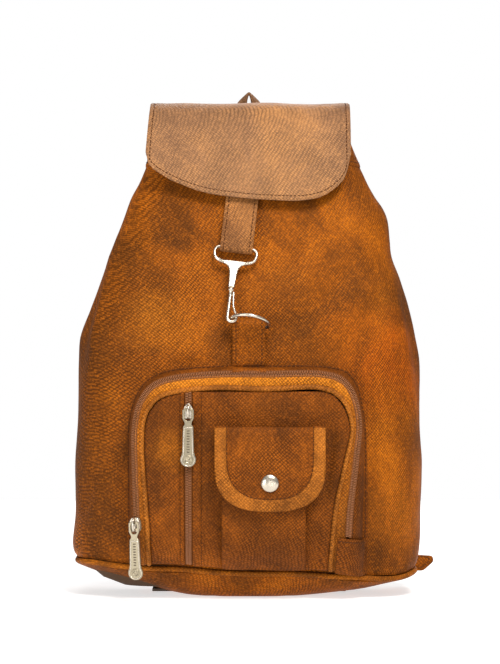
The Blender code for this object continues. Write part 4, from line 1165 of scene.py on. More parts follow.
def make_hook():
    """A wire eye round the strap's fold, a flat tapering plate, and a swivelling hook."""
    bar, across, down, mouth = hook_axes()
    frame = frame_at(bar, across, down)
    side = [(0.0, 0.0), (8.0, 0.0), (12.4, -0.2), (14.9, 0.9), (16.1, 3.4), (15.8, 7.0),
            (14.2, 9.8), (11.4, 11.3), (8.6, 12.0), (6.4, 12.3)]
    wires = []
    for turn in (-1, 1):
        line = sampled([frame @ Vector((x * turn * MM, y * MM, 0)) for x, y in side], 44)
        wires.append(tube(f"hook_wire_{turn + 1}", line, 1.15 * MM, STEEL, sides=14))
        for at in (8.6, 9.9, 11.2):
            middle = frame @ Vector((at * turn * MM, (12.05 - (at - 8.6) * 0.28) * MM, 0))
            lean = frame.to_3x3() @ Vector((turn, -0.24, 0)).normalized()
            first = lean.cross(frame.to_3x3() @ Vector((0, 0, 1))).normalized()
            second = lean.cross(first)
            coil = [middle + (first * math.cos(a) + second * math.sin(a)) * 1.25 * MM
                    for a in spread(0, 2 * math.pi, 17)[:-1]]
            wires.append(tube(f"hook_coil_{turn + 1}_{at:g}", coil, 0.5 * MM, STEEL, closed=True,
                              sides=8))
    half = [(8.4, 10.7), (8.8, 13.2), (5.6, 14.3), (3.9, 16.7), (3.1, 20.3), (2.6, 27.0),
            (2.4, 32.8)]
    shape = rounded_outline(in_mm(both_sides(half)), 1.4 * MM)
    web = plate("hook_web", [shape], 2.2 * MM, 0.75 * MM, frame, STEEL)
    put(joined("snap_hook_eye", wires + [web]), "hook_eye", "nickel", "hook_eye")

    reach = (mouth - bar).dot(down)
    line = [(0.0, NECK_END + 0.5 * MM), (0.0, NECK_END + 1.0 * MM), (0.0, NECK_END + 2.0 * MM),
            (0.0, NECK_END + 2.5 * MM), (0.0, NECK_END + 2.9 * MM), (0.0, NECK_END + 6 * MM),
            (0.0, reach - 4 * MM), (0.0, reach)]
    radii = [1.4, 1.85, 1.85, 1.4, 1.0, 1.0, 1.0, 1.0]
    for a in spread(math.pi / 14, math.pi, 14):
        line.append((MOUTH_R * (1 - math.cos(a)), reach + MOUTH_R * math.sin(a)))
        radii.append(1.0)
    line += [(2 * MOUTH_R, reach - 0.9 * MM), (2 * MOUTH_R, reach - 1.9 * MM)]
    radii += [1.0, 0.95]
    points = [bar + across * u + down * v for u, v in line]
    shank = tube("snap_hook_shank", points, 1.25 * MM, STEEL, sides=16, radii=np.array(radii))
    put(shank, "hook_body", "nickel", "hook_body")
    gate = [bar + across * u + down * v for u, v in
            ((2.3 * MM, NECK_END + 3.4 * MM), (2.4 * MM, NECK_END + 6 * MM),
             (3.4 * MM, reach - 9.0 * MM), (2 * MOUTH_R - 0.8 * MM, reach - 3.9 * MM))]
    put(tube("snap_hook_gate", gate, 0.85 * MM, STEEL, sides=12), "hook_gate", "nickel",
        "hook_gate")


def make_ring_and_strap():
    put(tube("ring_wire", ring_line(), RING_R, STEEL, closed=True, sides=14), "ring", "nickel",
        "d_ring")
    centre = on_front(0.0, RING_Z, RING_STAND)
    out = (centre - on_front(0.0, RING_Z)).normalized()
    across = Vector((1.0, 0.0, 0.0))
    up = out.cross(across).normalized()
    up = up if up.z > 0 else -up
    radius = RING_STAND - 0.9 * MM
    line = [on_front(0.0, z, s * MM) for z, s in ((0.1775, 4.3), (0.1800, 4.5), (0.187, 4.8),
                                                  (0.194, 6.0), (0.200, 8.8))]
    line += [centre + out * math.cos(a) * radius + up * math.sin(a) * radius
             for a in spread(0, math.pi, 15)]
    line += [on_front(0.0, z, 0.9 * MM) for z in (0.201, 0.195, 0.187, 0.1800)]
    line = [Vector(p) for p in resampled(line, 1.3 * MM)]
    grid = strap_grid(line, [across * STRAP_W / 2] * len(line))
    piece, surface, seams = strap("ring_strap_leather", grid, STRAP_T, TAN)
    put(piece, "root", "leather_tan", "ring_strap")
    for side, seam in zip(("left", "right"), seams):
        stitch(f"ring_strap_stitches_{side}", seam[:len(seam) // 2 - 3], surface, pitch=3.2 * MM)


# ---- Front pocket ----

def hem_shift(x, z, bottom):
    """How far a point of the pocket moves so that its lower edge follows the bottom seam."""
    fade = max(1 - (z - bottom) / 0.035, 0.0) ** 2
    return (seam_z(x) + 2.9 * MM - bottom) * fade


def pocket_face_y(z):
    """The pocket's front is upright and is drawn in to the bottom seam over its lowest part."""
    u = min(max((z - POCKET_HEM_Z) / (POCKET_SWELL_Z - POCKET_HEM_Z), 0.0), 1.0)
    return POCKET_Y + (POCKET_HEM_Y - POCKET_Y) * (1 - u) ** 2


def gusset_point(s, inward):
    """The pocket's wall: s runs along its seam, inward goes from 0 at the body to 1 at the front.
    Below FLANGE it lies flat on the body, where it is sewn down."""
    seam, edge = along(POCKET_SEAM, s), along(POCKET_FACE, s)
    flat = seam.lerp(edge, inward + smooth(ZIP_LEAN, s) * 4 * inward * (1 - inward))
    start = front_y(flat.x, flat.y) - 1.3 * MM
    risen = max(inward - FLANGE, 0.0) / (1.0 - FLANGE)
    forward = (1.0 - (1.0 - risen) ** 4) ** 0.25
    y = start + (pocket_face_y(edge.y) - start) * forward
    return Vector((flat.x, y, flat.y))


def gusset(s, inward, stand=0.0):
    """The same point moved off the wall along its normal, with its foot on the bottom seam."""
    here = gusset_point(s, inward)
    e, f = 0.01, 0.01
    last = len(POCKET_SEAM) - 1
    run = gusset_point(min(s + e, last), inward) - gusset_point(max(s - e, 0), inward)
    rise = gusset_point(s, min(inward + f, 1)) - gusset_point(s, max(inward - f, 0))
    here = here + run.cross(rise).normalized() * -stand
    here.z += hem_shift(here.x, here.z, POCKET_HEM_Z)
    return here


def gusset_grid(inwards, stand=0.0, start=0.0, end=None, steps=190):
    last = len(POCKET_SEAM) - 1 if end is None else end
    return np.array([[tuple(gusset(s, w, stand)) for w in inwards]
                     for s in spread(start, last, steps)])


def face_edges(z):
    """The left and right edges of the pocket's front at a height."""
    last = len(POCKET_FACE) - 1
    middle = last // 2 + 0.5
    found = []
    for low, high in ((0.0, middle), (float(last), middle)):
        for _ in range(40):
            half = (low + high) / 2
            if along(POCKET_FACE, half).y < z:
                low = half
            else:
                high = half
        found.append(along(POCKET_FACE, low).x)
    return found


def face_point(x, z, stand=0.0):
    """A point off the pocket's front, with the lowest points on the bottom seam."""
    step = 0.5 * MM
    slope = (pocket_face_y(z + step) - pocket_face_y(z - step)) / (2 * step)
    here = Vector((x, pocket_face_y(z), z)) + Vector((0, -1, slope)).normalized() * stand
    here.z += hem_shift(x, z, POCKET_HEM_Z)
    return here


def zip_teeth(name, line, normals, node):
    """Two rows of teeth that mesh on the line, and the cord that each row is moulded on."""
    line, normals = np.asarray(line), np.asarray(normals)
    step = 1.25 * MM
    places = resampled(line, step)
    near = [int(np.argmin(((line - p) ** 2).sum(axis=1))) for p in places]
    out = normals[near]
    runs = np.gradient(places, axis=0)
    runs /= np.linalg.norm(runs, axis=1, keepdims=True)
    sides = np.cross(out, runs)
    rows = []
    for k, turn in enumerate((-1, 1)):
        shift = runs * step * 0.25 * turn
        rows.append(bars(f"{name}_row_{k}", places + sides * 1.05 * MM * turn + shift, sides, out,
                         (2.3 * MM, 0.72 * MM, 1.4 * MM), TEETH))
        cord = places + sides * 2.3 * MM * turn - out * 0.2 * MM
        rows.append(tube(f"{name}_cord_{k}", cord, 0.5 * MM, TAPE, sides=8))
    put(joined(name, rows), "root", "zip_teeth", node)


def make_pocket_walls():
    last = len(POCKET_SEAM) - 1
    rear = gusset_grid([-0.06, -0.045, -0.03, 0.0, 0.03, 0.055, 0.07, 0.071, 0.074, 0.08, 0.09,
                        0.105, 0.125, 0.15, 0.18, 0.21, 0.25, 0.29, 0.32, 0.345, 0.365, 0.385,
                        0.395, 0.40])
    seam = gusset_grid([0.0])[:, 0]
    welt = gusset_grid([0.33])[:, 0]
    rear = raised(rear, rough(rear, 15 * MM, 0.7 * MM, 4.4))
    over = 1 / (1 + np.exp((np.abs(rear[..., 0]) - 14 * MM) / (0.8 * MM)))
    over = over * (rear[..., 2] > 0.15) * np.linspace(1.0, 0.0, rear.shape[1])[None, :]
    rear[..., 1] -= over * 4.4 * MM
    rear = sewn(rear, [rear[:, -1], rear[:, 0]], [seam, welt], cut=0.5 * MM, sink=0.3 * MM)
    lay("pocket_rear_leather", rear, 1.1 * MM, POCKET_TAN, "pocket_wall_rear")
    stitch("pocket_seam_stitches", seam, rear, pitch=3.4 * MM, size=WELT_STITCH, slant=12)
    stitch("pocket_rear_stitches", welt, rear, pitch=2.6 * MM, size=FINE_STITCH)

    front = gusset_grid([0.485, 0.49, 0.505, 0.53, 0.56, 0.60, 0.64, 0.68, 0.72, 0.76, 0.80,
                         0.84, 0.88, 0.91, 0.935])
    crown = np.linspace(0, math.pi, front.shape[1])
    front = front + grid_normals(front) * (np.sin(crown) * 0.7 * MM)[None, :, None]
    welt = gusset_grid([0.555])[:, 0]
    front = sewn(front, [front[:, 0], front[:, -1]], [welt], cut=0.5 * MM, sink=0.3 * MM)
    lay("pocket_front_leather", front, 1.1 * MM, BAND, "pocket_wall_front")
    stitch("pocket_front_stitches", welt, front, pitch=2.6 * MM, size=FINE_STITCH)

    tape = gusset_grid([0.15, 0.25, 0.38, 0.5, 0.65, 0.8], -TAPE_DROP, steps=120)
    lay("pocket_tape_cloth", tape, 0.6 * MM, TAPE, "pocket_zip_tape", slot="tape")
    stations = spread(0.04, PATCH_START - 0.02, 400)
    line = [tuple(gusset(s, TEETH_AT, 0.1 * MM)) for s in stations]
    out = [np.array(gusset(s, TEETH_AT, 1 * MM) - gusset(s, TEETH_AT)) / MM for s in stations]
    zip_teeth("pocket_zip_coil", line, out, "pocket_zip_teeth")

    cords = []
    for name, inward, radius, shift in (("outer", 0.955, 1.35 * MM, 0.5 * MM),
                                        ("inner", 1.0, 1.85 * MM, 0.5 * MM)):
        line = [gusset(s, inward) + Vector((0, shift, 0)) for s in spread(0.02, last - 0.02, 260)]
        line = np.array([tuple(p) for p in line])
        line += rough(line[None], 20 * MM, 0.35 * MM, 9.1)[0][:, None] * (1, 0, 1)
        cords.append(tube(f"piping_{name}", line, radius, STRIP, sides=10))
    put(joined("pocket_piping_cords", cords), "root", "leather_tan", "pocket_piping")

    patch = gusset_grid([0.01, 0.02, 0.05, 0.10, 0.18, 0.27, 0.36, 0.45, 0.54, 0.62, 0.70, 0.76,
                         0.80], 2.6 * MM, PATCH_START, last - 0.015, 34)
    patch = raised(patch, rough(patch, 12 * MM, 0.6 * MM, 2.9))
    seam = patch[2] * 0.6 + patch[3] * 0.4
    patch = sewn(patch, [patch[0], patch[:, -1], patch[:, 0]], [seam], cut=0.6 * MM)
    lay("zip_end_patch_leather", patch, 1.2 * MM, POCKET_TAN, "pocket_zip_end_patch")
    stitch("zip_end_patch_stitches", seam[2:-2], patch, pitch=2.8 * MM)


def face_grid(low_x, high_x, heights, steps):
    """A part of the pocket's front between two edges, each a function of height."""
    return np.array([[tuple(face_point(x, z)) for x in eased(low_x(z), high_x(z), steps)]
                     for z in heights])


def make_pocket_face():
    heights = eased(0.0236, FACE_TOP_Z, 76)
    gap = 1.9 * MM
    edges = {z: face_edges(min(z, FACE_TOP_Z)) for z in heights}
    above = {z: face_edges(min(z + 1.6 * MM, 0.1604)) for z in heights}

    def low_edge(z):
        return min(max(edges[z][0], above[z][0]) + gap, FACE_ZIP_X - 4.5 * MM)

    def high_edge(z):
        return min(edges[z][1], above[z][1]) - gap

    parts = (("left", low_edge, lambda z: FACE_ZIP_X - 2.6 * MM, 26, 5.1),
             ("right", lambda z: FACE_ZIP_X + 2.6 * MM, high_edge, 84, 6.4))
    for name, low, high, steps, seed in parts:
        grid = face_grid(low, high, heights, steps)
        side = [grid[:, 0], grid[:, -1]]
        border = outline(grid)
        swell = np.clip(distance_to(grid, resampled(border, 2 * MM)) / (9 * MM), 0, 1)
        lumps = rough(grid, 26 * MM, 1.5 * MM, seed) + rough(grid, 9 * MM, 0.25 * MM, seed + 3)
        sag = bell(grid[..., 2] - 0.036, 12 * MM) * 0.6 * MM
        shift = (np.minimum(lumps, 0.5 * MM) - sag * 0.4) * swell
        if name == "right":
            crease = grid[..., 0] - 0.0585 - (grid[..., 2] - 0.09) * 0.12
            shift -= bell(crease, 5 * MM) * 1.3 * MM * swell
        grid = raised(grid, shift)
        grid = sewn(grid, side + [grid[0], grid[-1]], [], cut=0.8 * MM)
        lay(f"pocket_face_{name}", grid, 1.3 * MM, POCKET_TAN, f"pocket_panel_{name}")
        seam = grid[2:-2, 3 if name == "left" else -4]
        stitch(f"pocket_face_stitches_{name}", seam, grid, pitch=3.2 * MM, size=ZIP_STITCH)

    tape = face_grid(lambda z: FACE_ZIP_X - 7.5 * MM, lambda z: FACE_ZIP_X + 7.5 * MM,
                     spread(0.0245, FACE_TOP_Z - 0.2 * MM, 40), 6)
    tape = tape + grid_normals(tape) * -TAPE_DROP
    lay("face_tape_cloth", tape, 0.6 * MM, TAPE, "face_zip_tape", slot="tape")
    heights = spread(0.0255, FACE_TOP_Z - 0.4 * MM, 120)
    line = [tuple(face_point(FACE_ZIP_X, z, 0.0)) for z in heights]
    out = [np.array(face_point(FACE_ZIP_X, z, 1 * MM) - face_point(FACE_ZIP_X, z)) / MM
           for z in heights]
    zip_teeth("face_zip_coil", line, out, "face_zip_teeth")

    for name, low, high in (("left", -6.6, -2.8), ("right", 2.8, 10.4)):
        heights = spread(0.0250, FACE_TOP_Z - 0.2 * MM, 90)
        grid = face_grid(lambda z: FACE_ZIP_X + low * MM, lambda z: FACE_ZIP_X + high * MM,
                         heights, 15)
        crown = np.sin(np.linspace(0, math.pi, 15)) ** 0.6
        grid = grid + grid_normals(grid) * (0.35 * MM + crown * 0.75 * MM)[None, :, None]
        grid = raised(grid, rough(grid, 12 * MM, 0.35 * MM, 1.9))
        seam = grid[1:-1, 12 if name == "right" else 2]
        grid = sewn(grid, [grid[:, 0], grid[:, -1]], [seam], cut=0.4 * MM, sink=0.3 * MM)
        lay(f"face_zip_welt_{name}", grid, 0.6 * MM, POCKET_TAN)
        stitch(f"face_zip_stitches_{name}", seam, grid, pitch=3.0 * MM, size=ZIP_STITCH)


def zip_frames():
    """The frames of the two sliders on their teeth: across, up the zip, and outwards."""
    here = gusset_point(POCKET_SLIDER_AT, TEETH_AT)
    up = (gusset_point(POCKET_SLIDER_AT + 1, TEETH_AT) - here).normalized()
    rise = gusset_point(POCKET_SLIDER_AT, TEETH_AT + 0.02) - here
    side = frame_at(here, (rise - up * rise.dot(up)).normalized(), up)
    face = frame_at((FACE_ZIP_X, pocket_face_y(FACE_SLIDER_Z), FACE_SLIDER_Z), (1, 0, 0),
                    (0, 0, 1))
    return (("pocket", side), ("face", face))


PULLER_END = -36.1       # middle of a puller's round end, in mm from its slider's middle


def make_sliders():
    """A slider with a bridge on its back, and its puller with a loop, a waist and a rimmed end."""
    bodies = {
        "pocket": [(4.2, 2.6), (2.4, 5.4), (-2.4, 5.4), (-4.2, 2.6), (-4.2, -3.4), (-3.0, -5.5),
                   (3.0, -5.5), (4.2, -3.4)],
        "face": [(4.3, 0.6), (2.4, 4.6), (0.0, 6.6), (-2.4, 4.6), (-4.3, 0.6), (-4.0, -3.6),
                 (-2.4, -5.5), (2.4, -5.5), (4.0, -3.6)],
    }
    for name, frame in zip_frames():
        shape = rounded_outline(in_mm(bodies[name]), 1.2 * MM)
        plates = [
            plate(f"{name}_slider_top", [shape], 1.5 * MM, 0.45 * MM,
                  frame @ Matrix.Translation((0, 0, 3.4 * MM)), STEEL),
            plate(f"{name}_slider_under", [shape], 1.1 * MM, 0.3 * MM,
                  frame @ Matrix.Translation((0, 0, 1.3 * MM)), AGED),
        ]
        arch = [(0, 4.7, 3.6), (0, 4.4, 5.4), (0, 3.4, 6.9), (0, 1.2, 7.6), (0, -1.6, 7.5),
                (0, -3.7, 6.6), (0, -4.6, 5.2), (0, -4.8, 3.6)]
        line = sampled([frame @ (Vector(p) * MM) for p in arch], 26)
        plates.append(tube(f"{name}_slider_bridge", line, 0.95 * MM, STEEL, sides=12))
        wedge = rounded_outline(in_mm([(1.9, 4.2), (-1.9, 4.2), (-0.7, -1.5), (0.7, -1.5)]),
                                0.5 * MM)
        plates.append(plate(f"{name}_slider_rib", [wedge], 1.6 * MM, 0.4 * MM,
                            frame @ Matrix.Translation((0, 0, 4.2 * MM)), STEEL))
        put(joined(f"{name}_slider_metal", plates), f"{name}_slider", "nickel",
            f"{name}_zip_slider")

        half = [(2.9, 2.3), (4.3, 1.5), (4.2, -5.4), (2.7, -8.2), (2.5, -9.8), (3.9, -11.2),
                (4.5, -32.4)]
        half += [(6.0 * math.sin(a), PULLER_END - 5.8 * math.cos(a)) for a in spread(2.3, 0.3, 8)]
        shape = in_mm(both_sides(half))
        window = [(2.5, 0.6), (2.5, -5.2), (1.2, -6.9), (-1.2, -6.9), (-2.5, -5.2), (-2.5, 0.6)]
        window = rounded_outline(in_mm(window), 0.8 * MM)
        at = frame @ Matrix.Translation((0, 0, 5.3 * MM))
        tags = [plate(f"{name}_puller_tag", [rounded_outline(shape, 1.0 * MM), window], 1.3 * MM,
                      0.35 * MM, at, AGED)]
        half = [(2.9, -12.2), (3.5, -32.6)]
        half += [(4.9 * math.sin(a), PULLER_END - 4.8 * math.cos(a)) for a in spread(2.4, 0.22, 8)]
        rim = [frame @ Vector((x, y, 5.9 * MM)) for x, y in in_mm(both_sides(half))]
        rim = resampled(rounded_outline(rim, 1.0 * MM, 3), 0.9 * MM, closed=True)
        tags.append(tube(f"{name}_puller_rim", rim, 0.42 * MM, STEEL, closed=True, sides=8))
        ticks = [frame @ Vector((0, y * MM, 5.95 * MM)) for y in spread(-14.5, -30.5, 9)]
        out = np.array(frame.to_3x3() @ Vector((0, 0, 1)))
        across = np.array(frame.to_3x3() @ Vector((1, 0, 0)))
        tags.append(bars(f"{name}_puller_ticks", [np.array(t) for t in ticks],
                         [across] * 9, [out] * 9, (2.4 * MM, 0.9 * MM, 0.4 * MM), ENGRAVED))
        medal = [(0.01, 0.35), (1.2, 0.3), (1.5, 0.05), (2.3, 0.05), (2.5, 0.35), (3.2, 0.3),
                 (3.3, -0.1)]
        tags.append(turned(f"{name}_puller_disc", in_mm(medal),
                           frame @ Matrix.Translation((0, PULLER_END * MM, 5.95 * MM)), AGED, 32))
        put(joined(f"{name}_puller_metal", tags), f"{name}_puller", "nickel",
            f"{name}_zip_puller")


# ---- Phone pocket ----

def phone_stand(z):
    """How far the phone pocket stands off the front pocket: less towards the bottom seam."""
    u = min(max((z - 0.0255) / 0.035, 0.0), 1.0)
    return 2.6 * MM + (PHONE_STAND - 2.6 * MM) * (1 - (1 - u) ** 2)


def phone_flap_grid(inset):
    """The phone flap's outer side, from its fold down its front."""
    low_x, high_x = PHONE_FLAP_X[0] + inset, PHONE_FLAP_X[1] - inset
    middle, reach = (low_x + high_x) / 2, (high_x - low_x) / 2
    columns, steps_along = [], 52
    for across in eased(-1.0, 1.0, 61):
        x = middle + reach * across
        low = PHONE_FLAP_LOW_Z + inset + 0.033 * (1 - (1 - abs(across) ** 2.6) ** (1 / 2.6))
        over = [(0, -(PHONE_FOLD + 1.6 * MM), PHONE_FLAP_TOP_Z),
                (0, -(PHONE_FOLD + 3.3 * MM), PHONE_FLAP_TOP_Z - 0.2 * MM),
                (0, -(PHONE_FLAP_STAND - 0.6 * MM), PHONE_FLAP_TOP_Z - 1.9 * MM),
                (0, -PHONE_FLAP_STAND, PHONE_FLAP_TOP_Z - 5.0 * MM)]
        line = sampled(over, 12)
        line += [(0, -PHONE_FLAP_STAND, z)
                 for z in eased(PHONE_FLAP_TOP_Z - 6.5 * MM, low, steps_along - 12, start=False)]
        columns.append([(x, POCKET_Y + y, z) for _, y, z in line])
    return np.array([[column[j] for column in reversed(columns)] for j in range(steps_along)])


def smoothed_columns(line):
    """A line with its small steps smoothed away and its ends kept."""
    for _ in range(6):
        line = np.concatenate([line[:1], (line[:-2] + 2 * line[1:-1] + line[2:]) / 4, line[-1:]])
    return line


def make_phone_pocket():
    low_x, high_x = PHONE_X
    rows = []
    for z in eased(0.0250, PHONE_TOP_Z, 60):
        off = phone_stand(z)
        line = [(low_x, 0.5 * MM), (low_x, 0.3 * off), (low_x, 0.65 * off),
                (low_x + 0.25 * MM, off - 0.9 * MM), (low_x + 1.0 * MM, off - 0.15 * MM)]
        line += [(x, off) for x in eased(low_x + 2.2 * MM, high_x - 2.2 * MM, 44)]
        line += [(high_x - 1.0 * MM, off - 0.15 * MM), (high_x - 0.25 * MM, off - 0.9 * MM),
                 (high_x, 0.65 * off), (high_x, 0.3 * off), (high_x, 0.5 * MM)]
        rows.append([tuple(face_point(x, z, stand)) for x, stand in line])
    grid = np.array(rows)
    wide = 1 - np.abs((grid[..., 0] - sum(PHONE_X) / 2) / (high_x - low_x) * 2) ** 4
    lumps = rough(grid, 24 * MM, 1.3 * MM, 7.3) + rough(grid, 8 * MM, 0.2 * MM, 4.1)
    grid = raised(grid, np.clip(wide, 0, 1) * np.minimum(lumps, 0.5 * MM))
    seams = [grid[:, 6], grid[:, -7]]
    grid = sewn(grid, [grid[-1]], seams, cut=0.5 * MM, sink=0.2 * MM)
    lay("phone_pocket_leather", grid, 1.2 * MM, POCKET_TAN, "phone_pocket_body")

    fold = np.array([[(x, POCKET_Y - off, PHONE_FLAP_TOP_Z) for x in eased(*PHONE_FLAP_X, 40)]
                     for off in spread(PHONE_FOLD + 0.5 * MM, 0.9 * MM, 12)])
    fold = sewn(fold, [fold[:, 0], fold[:, -1]], [fold[9]], cut=0.7 * MM)
    lay("phone_flap_root", fold, 2.2 * MM, POCKET_TAN, "phone_flap_fold")
    stitch("phone_flap_root_stitches", fold[9, 2:-2], fold, pitch=3.0 * MM)

    grid = phone_flap_grid(0.0)
    edge, seam = outline(grid, "ltr"), outline(phone_flap_grid(10.2 * MM)[4:], "ltr")
    near = distance_to(grid, resampled(edge, 1.0 * MM))
    height = rough(grid, 22 * MM, 0.9 * MM, 5.9) * np.clip((near - 9 * MM) / (8 * MM), 0, 1)
    height = np.minimum(height, 0.3 * MM)
    bound = np.clip((10.4 * MM - near) / (0.9 * MM), 0, 1)
    swell = np.sin(np.clip(near / (10.4 * MM), 0, 1) * math.pi) ** 0.7
    height += bound * (0.45 * MM + swell * 0.55 * MM)
    grid = raised(grid, height, run=LEFTWARDS)
    grid = sewn(grid, [edge], [seam], cut=1.5 * MM, sink=0.3 * MM, run=LEFTWARDS)
    lay("phone_flap_leather", grid, PHONE_FLAP_T, POCKET_TAN, "phone_flap", "phone_flap_binding",
        body="phone_flap", run=LEFTWARDS)
    inner = outline(phone_flap_grid(8.8 * MM)[5:], "ltr")
    stitch("phone_flap_stitches", inner, grid, body="phone_flap", pitch=3.2 * MM, run=LEFTWARDS)
    insets = [0.2, 0.5, 1.0, 2.0, 3.2, 4.4, 5.6, 6.6, 7.3, 7.7, 8.0]
    lines = [resampled(outline(phone_flap_grid(inset * MM)[5:], "ltr"), 1.0 * MM)
             for inset in insets]
    shares = np.linspace(0.0, 1.0, 150)
    bound = np.array([[line[int(round(t * (len(line) - 1)))] for line in lines] for t in shares])
    bound = np.array([smoothed_columns(bound[:, k]) for k in range(len(insets))]).swapaxes(0, 1)
    crown = np.sin(np.linspace(0.0, math.pi, len(insets))) ** 0.4
    crown += bell(np.array(insets) - 7.2, 0.7) * 0.8
    rise = 0.15 * MM + crown * 0.65 * MM
    bound = bound + np.array((0.0, -1.0, 0.0)) * rise[None, :, None]
    lay("phone_flap_binding_leather", bound[:, ::-1], 0.8 * MM, STRIP, body="phone_flap")

    x, z = SNAP_AT
    front = frame_at((x, 0, z), (1, 0, 0), (0, 0, 1))
    at = Matrix.Translation((0, POCKET_Y - PHONE_FLAP_STAND - 0.3 * MM, 0)) @ front
    dome = [(0.05, 2.35), (1.5, 2.36), (2.8, 2.30), (4.0, 2.12), (5.0, 1.80), (5.8, 1.36),
            (6.35, 0.95), (6.7, 0.55), (6.75, 0.25), (6.55, 0.0), (6.0, -0.15)]
    put(turned("snap_dome", in_mm(dome), at, STEEL, 64), "phone_flap", "nickel", "snap_cap")


# ---- Carrying side ----

def mirrored(point, side):
    return Vector((point[0] * side, point[1], point[2]))


def pad_grid(route, lean, widths, thickness):
    """Rows round a soft strap: a pillow section whose edges are sewn flat."""
    rows = []
    runs = np.gradient(np.array([tuple(p) for p in route]), axis=0)
    for p, run, width in zip(route, runs, widths):
        run = Vector(run).normalized()
        side = (lean - run * lean.dot(run)).normalized()
        out = run.cross(side)
        out = out if out.y > 0 else -out
        row = []
        for a in spread(0, 2 * math.pi, 41)[:-1]:
            c, s = math.cos(a), math.sin(a)
            u = math.copysign(abs(c) ** 0.6, c)
            swell = (1 - abs(u) ** 3.2) ** 0.6
            thick = thickness / 2 * (0.26 + 0.74 * swell) * math.copysign(abs(s) ** 0.35, s)
            row.append(tuple(p + out * (thickness / 2 + thick) + side * u * width))
        rows.append(row)
    return np.array(rows)


def closed_skin(name, grid, finish):
    """A closed piece over rings of points, with flat ends, whose faces all face out."""
    made = new_mesh(name, grid.reshape(-1, 3), skin_faces(*grid.shape[:2]), finish)
    mesh = bmesh.new()
    mesh.from_mesh(made.data)
    bmesh.ops.recalc_face_normals(mesh, faces=mesh.faces)
    mesh.to_mesh(made.data)
    mesh.free()
    return made


def make_shoulder_straps():
    grid = np.array([[(x, CARRIER_Y + 1.6 * MM, z) for x in eased(0.056, -0.056, 60)]
                     for z in eased(*YOKE_Z, 26)])
    seam = outline(grid[4:-4, 4:-4])
    grid = sewn(grid, [outline(grid)], [seam], cut=0.7 * MM)
    lay("yoke_leather", grid, 1.4 * MM, TAN, "strap_yoke")
    stitch("yoke_stitches", seam, grid, closed=True)

    for name, side in (("left", -1), ("right", 1)):
        route = [mirrored(p, side) for p in sampled(SHOULDER_ROUTE, 90)]
        lean = Vector((1.0, 0.0, 0.38 * side)).normalized()
        widths = spread(14.0 * MM, 17.0 * MM, 90)
        grid = pad_grid(route, lean, widths, PAD_T)
        pleats = np.sin(np.linspace(0, 26 * math.pi, 90)) * 0.10 * MM
        grid = grid + grid_normals(grid, True) * (rough(grid, 14 * MM, 0.5 * MM, 3 + side)
                                                  + pleats[:, None])[..., None] * -side
        pad = closed_skin(f"shoulder_pad_{name}", grid, TAN)
        seams = []
        for at in (3, 17):
            seams.append(stitches(f"pad_stitch_{at}", grid[2:-2, at], grid, ring=True))
        pad = joined(f"shoulder_pad_{name}", [pad] + seams)
        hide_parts(f"shoulder_strap_{name}")
        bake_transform(pad)

        webbing = [mirrored(p, side) for p in WEBBING_ROUTE]
        line = [Vector(p) for p in resampled(sampled(webbing, 40), 2.0 * MM)]
        lean = Vector((1.0, 0.0, 0.26 * side)).normalized()
        grid = strap_grid(line, [lean * -10 * MM] * len(line), 15)
        grid = sewn(grid, [grid[:, 0], grid[:, -1]], cut=0.4 * MM)
        lay(f"webbing_{name}", grid, WEBBING_T - 0.1 * MM, WEBBING, f"strap_webbing_{name}",
            body=f"strap_{name}", slot="tape")


def make_strap_tabs():
    """Leather tabs in the back's lower corners, which hold the ends of the shoulder straps."""
    back = CARRIER_Y
    outlines = {
        "right": [(0.1150, 0.0300), (0.1320, 0.0245), (0.1480, 0.0235), (0.1490, 0.0190),
                  (0.1405, 0.0115), (0.1180, 0.0115)],
        "left": [(-0.1060, 0.0290), (-0.1060, 0.0470), (-0.1240, 0.0450), (-0.1295, 0.0300),
                 (-0.1240, 0.0285)],
    }
    for name, points in outlines.items():
        frame = frame_at((0, back + 1.5 * MM, 0), (1, 0, 0), (0, 0, 1))
        shape = rounded_outline(points, 2.0 * MM, 5)
        tab = plate(f"tab_leather_{name}", [shape], 2.8 * MM, 0.8 * MM, frame, TAN)
        middle = sum((Vector(p) for p in points), Vector((0, 0))) / len(points)
        line = [middle.lerp(Vector(p[:2]), 0.74) for p in shape]
        line = [(x, back - 0.05 * MM, z) for x, z in line]
        places = resampled(line, 3.0 * MM, closed=True)
        runs = np.roll(places, -1, axis=0) - np.roll(places, 1, axis=0)
        rows = []
        for k, y in enumerate((back + 0.1 * MM, back + 2.95 * MM)):
            flat = places.copy()
            flat[:, 1] = y
            rows.append(bars(f"tab_stitch_{name}_{k}", flat, runs / np.linalg.norm(
                runs, axis=1, keepdims=True), [np.array((0, 1.0, 0))] * len(flat),
                (2.2 * MM, 0.8 * MM, 0.5 * MM), THREAD))
        put(joined(f"tab_leather_{name}", [tab] + rows), "root", "leather_tan", f"strap_tab_{name}")


def finish_kept_nodes():
    """The CAD pieces whose shape is right keep it and get their real finish."""
    finishes = {"mouth_eyelet_left": BRASS, "mouth_eyelet_right": BRASS, "base_board": BOARD,
                "snap_socket": STEEL, "snap_stud": STEEL, "strap_adjuster_left": PLASTIC,
                "strap_adjuster_right": PLASTIC}
    for name, finish in finishes.items():
        NODES[name].data.materials.clear()
        NODES[name].data.materials.append(finish)


# ---- Camera, lamps and floor ----

WORLD_LIGHT = 0.37       # what the white surroundings add to the lamps
FLOOR_GLOW = 0.62
FLOOR_HALF = 1.2
WHITE = (1.0, 1.0, 1.0)
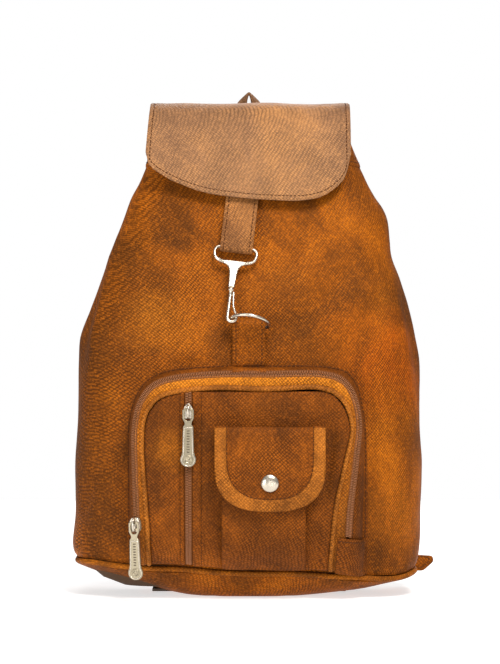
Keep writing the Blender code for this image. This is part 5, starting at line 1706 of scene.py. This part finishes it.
# Name, place, the height it aims at over the origin, size, power in watts, colour
LAMPS = (
    ("key", (0.5, -1.4, 1.8), 0.18, (0.7, 0.7), 47.0, (1.0, 0.98, 0.95)),
    ("top", (0.0, -0.4, 2.0), 0.20, (1.2, 1.2), 8.0, WHITE),
    ("fill", (-1.2, -1.7, 0.2), 0.10, (1.0, 1.0), 18.0, (0.98, 0.99, 1.0)),
    ("low", (0.4, -1.6, 0.05), 0.06, (1.0, 0.1), 1.5, WHITE),
    ("back", (0.2, 1.8, 1.3), 0.20, (1.2, 1.2), 14.0, WHITE),
)


def area_light(name, place, aim, size, power, colour):
    data = bpy.data.lights.new(name, "AREA")
    data.shape = "RECTANGLE"
    data.size, data.size_y = size
    data.energy = power
    data.color = colour
    light = linked(name, data)
    light.location = place
    facing = Vector((0, 0, aim)) - light.location
    light.rotation_euler = facing.to_track_quat("-Z", "Y").to_euler()


def make_stage():
    """A camera level with the bag's middle, white surroundings, five lamps and a pale floor."""
    scene = bpy.context.scene
    data = bpy.data.cameras.new("camera")
    data.lens = LENS
    data.clip_end = 20.0
    camera = linked("camera", data)
    camera.location = (CAMERA_X, -CAMERA_AWAY, CAMERA_Z)
    camera.rotation_euler = (math.pi / 2, 0.0, 0.0)
    scene.camera = camera
    scene.view_settings.view_transform = "Standard"

    world = bpy.data.worlds.new("studio")
    scene.world = world
    world.use_nodes = True
    background = world.node_tree.nodes["Background"]
    background.inputs["Color"].default_value = (*WHITE, 1.0)
    seen = world.node_tree.nodes.new("ShaderNodeLightPath")
    strength = world.node_tree.nodes.new("ShaderNodeMapRange")
    strength.inputs["To Min"].default_value = WORLD_LIGHT
    strength.inputs["To Max"].default_value = 1.0
    world.node_tree.links.new(seen.outputs["Is Camera Ray"], strength.inputs["Value"])
    world.node_tree.links.new(strength.outputs["Result"], background.inputs["Strength"])

    for lamp in LAMPS:
        area_light(*lamp)

    n = Nodes("floor_pale")
    n.shader.inputs["Base Color"].default_value = (0.62, 0.62, 0.62, 1.0)
    n.shader.inputs["Roughness"].default_value = 0.9
    n.shader.inputs["Emission Color"].default_value = (*WHITE, 1.0)
    n.shader.inputs["Emission Strength"].default_value = FLOOR_GLOW
    corners = [(x * FLOOR_HALF, y * FLOOR_HALF, -0.5 * MM)
               for x, y in ((-1, -1), (1, -1), (1, 1), (-1, 1))]
    new_mesh("floor", corners, [(0, 1, 2, 3)], n.material)


def main():
    make_stage()
    make_body()
    make_base()
    make_back()
    make_back_pads()
    make_flap()
    make_flap_strap()
    make_haul_loop()
    make_hook()
    make_ring_and_strap()
    make_pocket_walls()
    make_pocket_face()
    make_sliders()
    make_phone_pocket()
    make_shoulder_straps()
    make_strap_tabs()
    finish_kept_nodes()


main()
